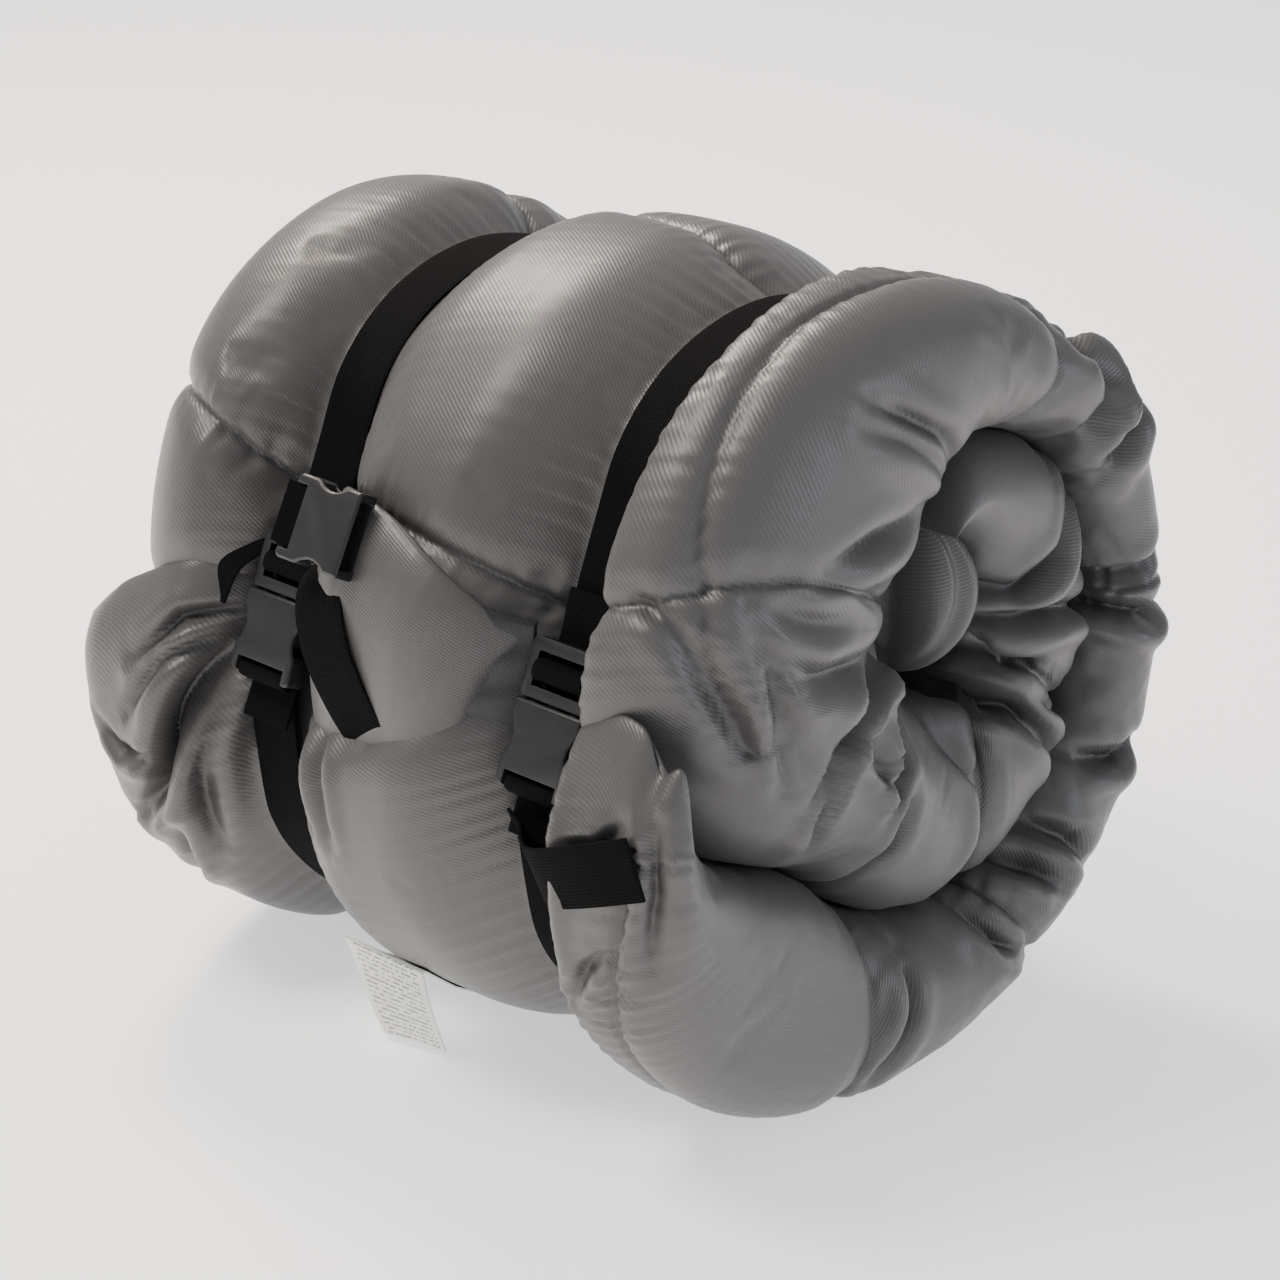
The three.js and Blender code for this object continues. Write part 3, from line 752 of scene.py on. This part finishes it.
TAIL_CREASES = [
    (4.5, 13, [(-90, 176), (-101, 187), (-108, 194), (-117, 202), (-139, 210)]),
    (3.5, 5, [(-90, 171), (-108, 173), (-128, 181)]),
    (3.0, 4, [(-92, 175), (-112, 180), (-130, 190)]),
    (3.0, 5, [(-92, 186), (-98, 198), (-100, 214)]),
    (3.0, 4, [(-116, 196), (-136, 197), (-150, 194)]),
    (3.0, 4, [(-112, 206), (-120, 218), (-138, 228)]),
    (3.0, 4, [(-34, 183), (-29, 190), (-24, 198)]),
    (3.0, 3, [(-18, 183), (-13, 192), (-11, 200)]),
    (3.5, 4, [(104, 178), (110, 190), (112, 204)]),
    (3.0, 4, [(145, 178), (136, 182), (120, 184)]),
    (3.0, 4, [(143, 196), (130, 200), (116, 208)]),
    (3.5, 4, [(160, 176), (164, 186), (160, 198)]),
]


CREASE_SHARE = 1.4


def crease(spots, stops, width, depth):
    """How far each spot (two coordinates in millimetres) sinks into one crease or rises beside it, and how
    near the crease's line it is, from 0 to 1, which sets the painted shade along the crease."""
    stops = np.array(stops, float)
    legs = np.linalg.norm(np.diff(stops, axis=0), axis=1)
    start = np.concatenate([[0], np.cumsum(legs)])
    nearest = np.full(len(spots), 1e9)
    side = np.zeros(len(spots))
    reached = np.zeros(len(spots))
    for a, b, leg, before in zip(stops, stops[1:], legs, start):
        along = (b - a) / leg
        t = np.clip((spots - a) @ along, 0, leg)
        away = spots - a - t[:, None] * along
        distance = np.linalg.norm(away, axis=1)
        closer = distance < nearest
        nearest = np.where(closer, distance, nearest)
        side = np.where(closer, np.sign(away[:, 0] * along[1] - away[:, 1] * along[0]), side)
        reached = np.where(closer, before + t, reached)
    fade = np.sin(math.pi * np.clip(reached / start[-1], 0.04, 0.96)) ** 0.6
    ridge = 0.55 * np.exp(-((nearest - 2.4 * width) / (1.5 * width)) ** 2) * np.where(side > 0, 1, 0.35)
    sunk = CREASE_SHARE * depth * fade * (ridge - np.exp(-(nearest / width) ** 2))
    return sunk, fade * groove(nearest, LINE_WIDTH) * min(depth / 6, 1)


LINE_WIDTH = 2.2
# line gathers painted shade: how much the colour is darkened along each crease and seam, where shade falls in
# the groove
line = np.zeros(len(x))
on_end = ease((x - 112) / 22) * ease((normal[:, 0] + 0.25) / 0.5)
for width, depth, stops in END_CREASES:
    sunk, near = crease(place[:, 1:], stops, width, depth)
    lift += on_end * sunk
    line = np.maximum(line, on_end * near)
on_tail = (turn < 265) & (face > 0)
tail_spots = np.stack([x, arc], axis=1)
for width, depth, stops in TAIL_CREASES:
    in_mm = [(at, angle * MM_PER_DEGREE) for at, angle in stops]
    sunk, near = crease(tail_spots, in_mm, width, depth)
    lift += np.where(on_tail, sunk, 0)
    line = np.maximum(line, np.where(on_tail, near, 0))
# the seams' grooves get the same painted shade, a little lighter
for seam in CROSS_SEAMS:
    line = np.maximum(line, 0.6 * groove(seam_distance(turn, x, seam, True), 1.3))
line = np.maximum(line, np.where(in_hem, 0.5 * groove(seam_distance(turn, x, HEM_SEAM, False), 1.3), 0))
# the attribute stores the painted shade along creases and seams, which the cloth material darkens its colour
# by
painted_crease_shade = quilt.data.attributes.new("painted_crease_shade", "FLOAT", "POINT")
painted_crease_shade.data.foreach_set("value", line)

place = place + normal * lift[:, None]
place[:, 2] = np.maximum(place[:, 2], 0.3)
write_places(quilt.data, place)
print("quilt:", len(quilt.data.polygons), "faces")

# %% [markdown]
# ## The cloth
# Polyester woven as a fine diagonal rib, with a satin face: a mid grey that shines in soft bands along the
# roll. The rib is drawn from the cloth's own coordinates, so it turns with the fold. Its pitch of 1.3 mm
# is a guess that reads well at this size. Creases and seams get a darker line of painted shade.

# %% Cloth material
RIB_PITCH = 1.3 * MM
THREAD_PITCH = 0.9 * MM
RIB_ANGLE = math.radians(62)
LINE_SHADE = 0.12


def cloth_material(name, face_colour, dark_colour, roughness, sheen):
    material, shader = start_material(name)
    uv = node(material, "ShaderNodeUVMap", {"uv_map": "cloth"}).outputs["UV"]
    turned = node(material, "ShaderNodeMapping", Vector=uv, Rotation=(0, 0, RIB_ANGLE))
    rib = wave(
        material, turned.outputs["Vector"], RIB_PITCH, Distortion=0.6, Detail=1.0, Detail_Scale=2.0)
    thread = wave(material, uv, THREAD_PITCH, Distortion=0.4, Detail=1.0, Detail_Scale=2.0)
    spot = node(material, "ShaderNodeTexCoord").outputs["Object"]
    cloud = noise(material, spot, 9.0, 3.0)
    slub = node(material, "ShaderNodeMapping", Vector=uv, Scale=(260.0, 18.0, 1.0))
    streak = noise(material, slub.outputs["Vector"], 1.0, 2.0)
    # painted shade: the attribute read here darkens the colour along creases and seams
    painted_crease_shade = node(material, "ShaderNodeAttribute", {"attribute_name": "painted_crease_shade"}).outputs["Fac"]

    colour = between(material, cloud, dark_colour, face_colour, (0.35, 0.65))
    colour = mixed(material, "MULTIPLY", 1.0, colour, in_range(material, rib, 0.92, 1.05))
    colour = mixed(material, "MULTIPLY", 1.0, colour, in_range(material, painted_crease_shade, 1.0, LINE_SHADE))
    link(material, colour, shader.inputs["Base Color"])
    rough = in_range(material, streak, roughness - 0.06, roughness + 0.08)
    link(material, rough, shader.inputs["Roughness"])
    bumped(material, shader, maths(material, "MULTIPLY_ADD", thread, 0.35, rib), 0.5, 0.00012)
    shader.inputs["Sheen Weight"].default_value = sheen
    shader.inputs["Sheen Roughness"].default_value = 0.4
    shader.inputs["Specular IOR Level"].default_value = 0.55
    return material


shell_cloth = cloth_material("satin_polyester_shell", "#4b4948", "#444343", 0.41, 0.04)
# a near-black cloth for the sheet beside the tail's corner, which stands for the deep shade there: painted
# shade
painted_shadow_cloth = cloth_material("painted_shadow_dark_cloth", "#141518", "#0f1012", 0.5, 0.05)

# %% [markdown]
# ## Webbing
# The straps are polyester webbing, woven flat and stiff, 25 mm wide and 1.5 mm thick, with fine ribs along
# its length. A band is a flat grid bent along its route and given its thickness, because a cloth simulation
# would make it too soft.

# %% Webbing material
def webbing_material():
    material, shader = start_material("black_polyester_webbing")
    uv = node(material, "ShaderNodeUVMap", {"uv_map": "cloth"}).outputs["UV"]
    ribs = wave(material, uv, 1.3 * MM, Distortion=0.3, Detail=1.0)
    picks = wave(material, uv, 1.1 * MM, "Y", Distortion=0.5, Detail=1.0)
    woven = maths(material, "MULTIPLY_ADD", picks, 0.6, ribs)
    bumped(material, shader, woven, 0.8, 0.0003)
    link(material, between(material, woven, "#060606", "#0f0f10"), shader.inputs["Base Color"])
    shader.inputs["Roughness"].default_value = 0.85
    shader.inputs["Specular IOR Level"].default_value = 0.06
    return material


webbing = webbing_material()

# %% Bands
WEB_WIDTH = 25
WEB_THICKNESS = 1.5
WEB_STEP = 2.5
WEB_COLUMNS = 7


def curve_through(stops, step=WEB_STEP):
    """Points at even steps along a smooth line through a few stops."""
    stops = np.array(stops, float)
    padded = np.vstack([2 * stops[0] - stops[1], stops, 2 * stops[-1] - stops[-2]])
    line = []
    for a, b, c, d in zip(padded, padded[1:], padded[2:], padded[3:]):
        for t in np.linspace(0, 1, 12, endpoint=False):
            line.append(0.5 * (2 * b + (c - a) * t + (2 * a - 5 * b + 4 * c - d) * t ** 2
                               + (3 * b - a - 3 * c + d) * t ** 3))
    line = np.array(line + [stops[-1]])
    length = np.concatenate([[0], np.cumsum(np.linalg.norm(np.diff(line, axis=0), axis=1))])
    even = np.linspace(0, length[-1], max(int(length[-1] / step), 2) + 1)
    return np.stack([np.interp(even, length, line[:, i]) for i in range(line.shape[1])], axis=1)


def band(name, middle, across, body, replaced):
    """A woven band: its middle line, and at each of its points the direction across it."""
    even = np.concatenate([[0], np.cumsum(np.linalg.norm(np.diff(middle, axis=0), axis=1))])
    side = np.linspace(-0.5, 0.5, WEB_COLUMNS) * WEB_WIDTH
    grid = middle[:, None, :] + across[:, None, :] * side[None, :, None]
    made = grid_object(
        name, grid, np.broadcast_to(side[None, :], grid.shape[:2]),
        np.broadcast_to(even[:, None], grid.shape[:2]))
    solidify = made.modifiers.new("thickness", "SOLIDIFY")
    solidify.thickness = WEB_THICKNESS * MM
    solidify.offset = 0
    bevel = made.modifiers.new("edge", "BEVEL")
    bevel.width = 0.35 * MM
    bevel.segments = 2
    fit_out(made, webbing, body, "webbing", replaced)
    print(name, "is", round(float(even[-1])), "mm long")


# %% [markdown]
# Each buckle stands in a frame of its own, tilted as the strap lies there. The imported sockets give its
# middle, so the webbing runs through the slots where they are.

# %% Buckle frames
TILT = math.radians(23)
UP_STRAP = np.array([math.sin(TILT), math.cos(TILT)])
OFF_ROLL = np.array([-math.cos(TILT), math.sin(TILT)])
BUCKLE_BACK = 3.9
BUCKLE_THICKNESS = 10.6
SOCKET_LENGTH = 34
BAR = 2.8
SLOT = 3.4
FRAME_THICKNESS = 6
WEB_LIFT = 0.3 + WEB_THICKNESS / 2
LAYER_ONE = 0.9
LAYER_TWO = LAYER_ONE + WEB_THICKNESS + 0.3
LOW_SLOT, HIGH_SLOT = 7.8, 16.4   # the ladder bar's two slots, up from the socket's mouth
STRAP_LIFT = 1.3


def buckle_frame(side):
    """The point on the roll behind the socket's mouth, as (y, z) in millimetres."""
    low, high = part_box(f"{side}_buckle_socket")
    middle = (low + high) / 2 / MM
    away = BUCKLE_BACK + BUCKLE_THICKNESS / 2
    return np.array([middle.y, middle.z]) - OFF_ROLL * away + UP_STRAP * SOCKET_LENGTH / 2


def on_roll(turn, x):
    """A strap's place (y, z) on the quilt's outer face."""
    y, z = polar(outer_radius(np.float64(turn), np.float64(x)) + STRAP_LIFT, np.float64(turn))
    return [y, z + axis_table(x)]


def strap_band(name, stops, step, x, body, replaced):
    """A band in the plane of one strap, through (y, z) stops."""
    line = curve_through(stops, step)
    middle = np.column_stack([np.full(len(line), float(x)), line])
    band(name, middle, np.tile([1.0, 0.0, 0.0], (len(line), 1)), body, replaced)


SOCKET_SLOT = -SOCKET_LENGTH + BAR + SLOT / 2
BELOW_SOCKET = -SOCKET_LENGTH - WEB_LIFT
OVER_BAR = BUCKLE_BACK + BUCKLE_THICKNESS / 2 + (BAR + 1) / 2 + WEB_LIFT
OVER_LADDER = BUCKLE_BACK + (BUCKLE_THICKNESS + FRAME_THICKNESS) / 2 + WEB_LIFT
# each stop is (away from the roll, up the strap from the socket's mouth)
TO_THE_MOUTH = [(LAYER_ONE, 34), (LAYER_ONE, 18), (LAYER_ONE, 4)]
ROUND_THE_BAR = [
    (LAYER_TWO, -52), (LAYER_TWO, BELOW_SOCKET), ((LAYER_TWO + OVER_BAR) / 2, BELOW_SOCKET - 0.9),
    (OVER_BAR, BELOW_SOCKET + 1), (OVER_BAR, SOCKET_SLOT - 0.6), (LAYER_ONE + 2, SOCKET_SLOT),
    (LAYER_ONE, SOCKET_SLOT - 3), (LAYER_ONE, -44),
]
THROUGH_THE_LADDER = [
    (LAYER_TWO + 1.6, 45), (LAYER_TWO, HIGH_SLOT + 3), (LAYER_TWO + 3, HIGH_SLOT + 0.5),
    (OVER_LADDER, HIGH_SLOT - 1.5), (OVER_LADDER, LOW_SLOT + 1.5), (LAYER_TWO + 3, LOW_SLOT - 0.5),
    (LAYER_TWO, LOW_SLOT - 3), (LAYER_TWO, 2),
]

for side, strap in zip(("left", "right"), STRAPS):
    origin = buckle_frame(side)
    over, short, threaded = (
        [list(origin + OFF_ROLL * away + UP_STRAP * up) for away, up in stops]
        for stops in (TO_THE_MOUTH, ROUND_THE_BAR, THROUGH_THE_LADDER))
    over = [on_roll(angle, strap) for angle in range(255, 500, 12)] + over
    short += [on_roll(angle, strap) for angle in (206, 214, 222, 231, 240)]
    strap_band(f"{side}_strap_over_the_roll", over, WEB_STEP, strap, "rolled_quilt", f"{side}_long_strap")
    strap_band(f"{side}_strap_to_the_socket", short, 1.5, strap, "rolled_quilt", f"{side}_short_strap")
    strap_band(
        f"{side}_strap_end_in_the_clip", threaded, 1.2, strap, f"{side}_clip", f"{side}_threaded_webbing")

# %% [markdown]
# ## The tail's corner
# Between the straps a second layer of the tail shows above the first: the quilt's own corner, folded up,
# with a gathered hem. It is a thin bag of its own, and a near-black sheet beside it stands for the deep shade
# there: painted shade.

# %% The corner flap
FLAP_TOP = np.array([(-52, 503), (63, 519)], float)       # (place along the roll, angle) of its corners
FLAP_LOW = np.array([(-58, 552), (44, 552)], float)
FLAP_PUFF = 11


def flap_place(s, t):
    """Place along the roll and angle on the flap: s runs along its hem, t down from it."""
    top, low = (row[0] + (row[1] - row[0]) * s[..., None] for row in (FLAP_TOP, FLAP_LOW))
    spot = top + (low - top) * t[..., None]
    spot[..., 1] -= 3.5 * np.sin(math.pi * s) * (1 - t)
    spot[..., 0] -= 6 * np.sin(math.pi * t) * ease((s - 0.5) / 0.5)
    return spot[..., 0], spot[..., 1]


def flap_rise(s, t):
    """How far the flap's outer face stands off the roll."""
    edge = np.clip(1 - np.abs(2 * s - 1) ** 3.4, 0, 1) * np.clip(1 - (1 - t) ** 4, 0, 1)
    folds = 1.6 * waves(s * 116, 9, 71) * np.exp(-t / 0.2) * ease(s * 4)
    pulls = 1.2 * np.sin(s * 26 + t * 7) * ease((s - 0.55) / 0.4) * np.exp(-((t - 0.3) / 0.3) ** 2)
    return (FLAP_PUFF + folds + pulls) * np.sqrt(edge)


def on_section(x, angle, lift, drawn_in=0.0):
    """Points off the roll's full section, less a share of the straps' valleys."""
    radius = outer_table(angle) * size_table(x) + lift
    yz = polar(radius - drawn_in * valley(x, angle) * valley_table(angle), angle)
    return np.stack([x, yz[..., 0], axis_table(x) + yz[..., 1]], axis=-1)


down = np.linspace(0, 1, 44)
down = np.concatenate([down, down[::-1][1:]])             # down the outer face and up the inner one
outward = np.concatenate([np.ones(44), -np.ones(43)])
s_grid, t_grid = np.meshgrid(np.linspace(0, 1, 90), down, indexing="ij")
flap_x, flap_angle = flap_place(s_grid, t_grid)
flap_lift = 1 + np.where(outward[None, :] > 0, flap_rise(s_grid, t_grid), -5 * np.sqrt(t_grid))
flap = grid_object(
    "tail_corner", on_section(flap_x, flap_angle, flap_lift, 0.8), flap_x, flap_angle * MM_PER_DEGREE,
    weld=WELD)
subdivide(flap)
fit_out(flap, shell_cloth, "rolled_quilt", "shell_taffeta")

# %% [markdown]
# In the middle of the roll the quilt's last corner stands up in the opening as a pointed leaf.

# %% The corner in the roll's middle
LEAF_MIDDLE = (126, 27, 203)
LEAF_HALF = (34, 17, 36)          # along the roll, across the leaf, up it
leaf_ball = bmesh.new()
bmesh.ops.create_uvsphere(leaf_ball, u_segments=48, v_segments=32, radius=1)
for vert in leaf_ball.verts:
    out, across_leaf, up_leaf = vert.co
    narrow = 1 - 0.45 * max(up_leaf, 0) ** 2 - 0.25 * max(-up_leaf, 0) ** 2
    bend = 9 * (1 - up_leaf ** 2) * (1 if out > 0 else 0.4)
    fold = -5 * math.exp(-((across_leaf + 0.25 - 0.3 * up_leaf) / 0.16) ** 2) * max(out, 0)
    vert.co = (
        (LEAF_MIDDLE[0] + LEAF_HALF[0] * out + fold) * MM,
        (LEAF_MIDDLE[1] + LEAF_HALF[1] * across_leaf * narrow + bend) * MM,
        (LEAF_MIDDLE[2] + LEAF_HALF[2] * up_leaf + 4 * across_leaf) * MM,
    )
leaf_uv = leaf_ball.loops.layers.uv.new("cloth")
for polygon in leaf_ball.faces:
    for loop in polygon.loops:
        loop[leaf_uv].uv = (loop.vert.co.y, loop.vert.co.z)
core_corner = add_object("core_corner", leaf_ball)
subdivide(core_corner)
fit_out(core_corner, shell_cloth, "rolled_quilt", "shell_taffeta")

# %% Painted shade: a dark sheet beside it
# a near-black sheet just off the roll, painted shade between the flap's edge and the strap
patch_x, patch_angle = np.meshgrid(np.linspace(28, 65.5, 36), np.linspace(516, 552, 30), indexing="ij")
patch_lift = 3.2 + 0.8 * np.sin(patch_angle * 0.9 + patch_x * 0.12)
patch = grid_object(
    "painted_shadow_sheet", on_section(patch_x, patch_angle, patch_lift, 0.82), patch_x,
    patch_angle * MM_PER_DEGREE)
patch.modifiers.new("thickness", "SOLIDIFY").thickness = 0.8 * MM
fit_out(patch, painted_shadow_cloth, "rolled_quilt", "lining_taffeta")

# %% [markdown]
# ## The spare strap and the keeper
# A loose strap comes out from under the left strap, one leg down each side, and both legs end under the
# tail. The keeper tab runs from the right strap to the hem seam.

# %% Slanted bands
def slanted(name, stops, replaced):
    """A band through (place along the roll, angle, lift off the full section) stops."""
    x, angle, lift = curve_through(stops, 2.0).T
    middle = on_section(x, angle, lift)
    away = np.column_stack([np.zeros(len(x)), np.cos(np.radians(angle)), np.sin(np.radians(angle))])
    across = np.cross(np.gradient(middle, axis=0), away)
    band(name, middle, across / np.linalg.norm(across, axis=1, keepdims=True), "rolled_quilt", replaced)


slanted("spare_strap_left", [(-92, 511, -38), (-97, 516, -24), (-102, 521, -13), (-108, 528, -10)],
        "spare_strap_left_leg")
slanted("spare_strap_right", [
    (-42, 506, -40), (-33, 512, -22), (-24, 519, 5), (-13, 527, 14), (0, 537, 13), (9, 545, 9),
    (15, 552, 2)], "spare_strap_right_leg")
slanted("keeper_webbing", [
    (71, 194, -28), (86, 192, -18), (98, 190.5, -7), (112, 188.5, 2), (132, 185.5, 4), (157, 182, 1)],
    "keeper_tab")

# %% [markdown]
# ## Buckles
# Side-release buckles moulded in acetal: matt black, with a fine spark-eroded grain and softened edges that
# catch the light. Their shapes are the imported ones. Each is copied, its loose triangles are merged, and its
# edges are bevelled.

# %% Acetal
def acetal_material():
    material, shader = start_material("moulded_acetal")
    spot = node(material, "ShaderNodeTexCoord").outputs["Object"]
    grain = noise(material, spot, 1 / (0.6 * MM), 3.0)
    wear = noise(material, spot, 1 / (9 * MM), 4.0)
    bumped(material, shader, grain, 0.25, 0.0001)
    link(material, between(material, wear, "#0d0d0e", "#161617"), shader.inputs["Base Color"])
    link(material, in_range(material, wear, 0.36, 0.52), shader.inputs["Roughness"])
    shader.inputs["IOR"].default_value = 1.48
    return material


acetal = acetal_material()

# %% Softened copies
BUCKLE_EDGE = 0.45
LATCH_EDGE = 0.3
SHARP = math.radians(28)


def softened(node_name, body, width=BUCKLE_EDGE):
    """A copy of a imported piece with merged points, flat faces and bevelled edges, which stands for it."""
    bm = bmesh.new()
    bm.from_mesh(nodes[node_name].data)
    bmesh.ops.remove_doubles(bm, verts=bm.verts, dist=0.01 * MM)
    bmesh.ops.dissolve_limit(bm, angle_limit=math.radians(2), verts=bm.verts, edges=bm.edges)
    sharp = [e for e in bm.edges if len(e.link_faces) == 2 and e.calc_face_angle(0) > SHARP]
    bmesh.ops.bevel(
        bm, geom=sharp, offset=width * MM, offset_type="OFFSET", segments=2, profile=0.5, affect="EDGES",
        clamp_overlap=True, material=-1)
    made = add_object(node_name + "_soft", bm)
    made.data.set_sharp_from_angle(angle=math.radians(35))
    fit_out(made, acetal, body, "acetal", node_name)


for side in ("left", "right"):
    softened(f"{side}_buckle_socket", "rolled_quilt")
    softened(f"{side}_buckle_clip", f"{side}_clip")
    softened(f"{side}_latch_arm_left", f"{side}_latch_a", LATCH_EDGE)
    softened(f"{side}_latch_arm_right", f"{side}_latch_b", LATCH_EDGE)
softened("spare_buckle_socket", "spare_buckle")


def surface(node_name, material):
    """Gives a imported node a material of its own."""
    nodes[node_name].data.materials.clear()
    nodes[node_name].data.materials.append(material)


surface("spare_buckle_web", webbing)

# %% [markdown]
# ## The care label
# A folded strip of white satin, sewn in at the tail's edge. The leaf behind lies against the quilt, and the
# leaf in front hangs and curls. The print is rows of short grey bars that spell nothing.

# %% Label material
LABEL = (46, 40)                  # its printed face, in millimetres
ROW_PITCH = 2.2 * MM
PRINT_HALF = 0.019


def label_material():
    material, shader = start_material("printed_label_satin")
    uv = node(material, "ShaderNodeUVMap", {"uv_map": "cloth"}).outputs["UV"]
    rows = wave(material, uv, ROW_PITCH, "Y")
    words = node(material, "ShaderNodeMapping", Vector=uv, Scale=(520.0, 455.0, 1.0))
    letters = noise(material, words.outputs["Vector"], 1.0, 1.0)
    ink = maths(
        material, "MULTIPLY", maths(material, "GREATER_THAN", rows, 0.62),
        maths(material, "GREATER_THAN", letters, 0.47))
    along_row = node(material, "ShaderNodeSeparateXYZ", Vector=uv).outputs["X"]
    inside = maths(material, "LESS_THAN", maths(material, "ABSOLUTE", along_row), PRINT_HALF)
    ink = maths(material, "MULTIPLY", ink, inside)
    colour = mixed(material, "MIX", ink, linear("#e9e8e4"), linear("#8d8d8c"))
    link(material, colour, shader.inputs["Base Color"])
    shader.inputs["Roughness"].default_value = 0.45
    return material


label_satin = label_material()
surface("care_label_back", label_satin)

# %% The hanging leaf
CURL = 2.4
LEAF_THICKNESS = 0.35
low, high = (np.array(corner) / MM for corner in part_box("care_label_front"))
s, t = np.meshgrid(np.linspace(0, 1, 30), np.linspace(0, 1, 24), indexing="ij")
leaf_x = low[0] + (high[0] - low[0]) * s + t * (24 * (1 - s) + 8 * s)
leaf_y = (low[1] + high[1]) / 2 - CURL * (np.sin(2.6 * t + 1.7 * s) - np.sin(1.7 * s)) * t
leaf_points = np.stack([leaf_x, leaf_y, high[2] - (high[2] - low[2]) * t], axis=-1)
leaf = grid_object("label_front", leaf_points, (s - 0.5) * LABEL[0], t * LABEL[1])
leaf.modifiers.new("thickness", "SOLIDIFY").thickness = LEAF_THICKNESS * MM
fit_out(leaf, label_satin, "care_label", "label_satin", "care_label_front")

# %% Finish
fit_out(quilt, shell_cloth, "rolled_quilt", "shell_taffeta", "quilt_shell", "quilt_fill", "quilt_lining")

low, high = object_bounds()
print("size:", [round(v, 4) for v in low], [round(v, 4) for v in high])
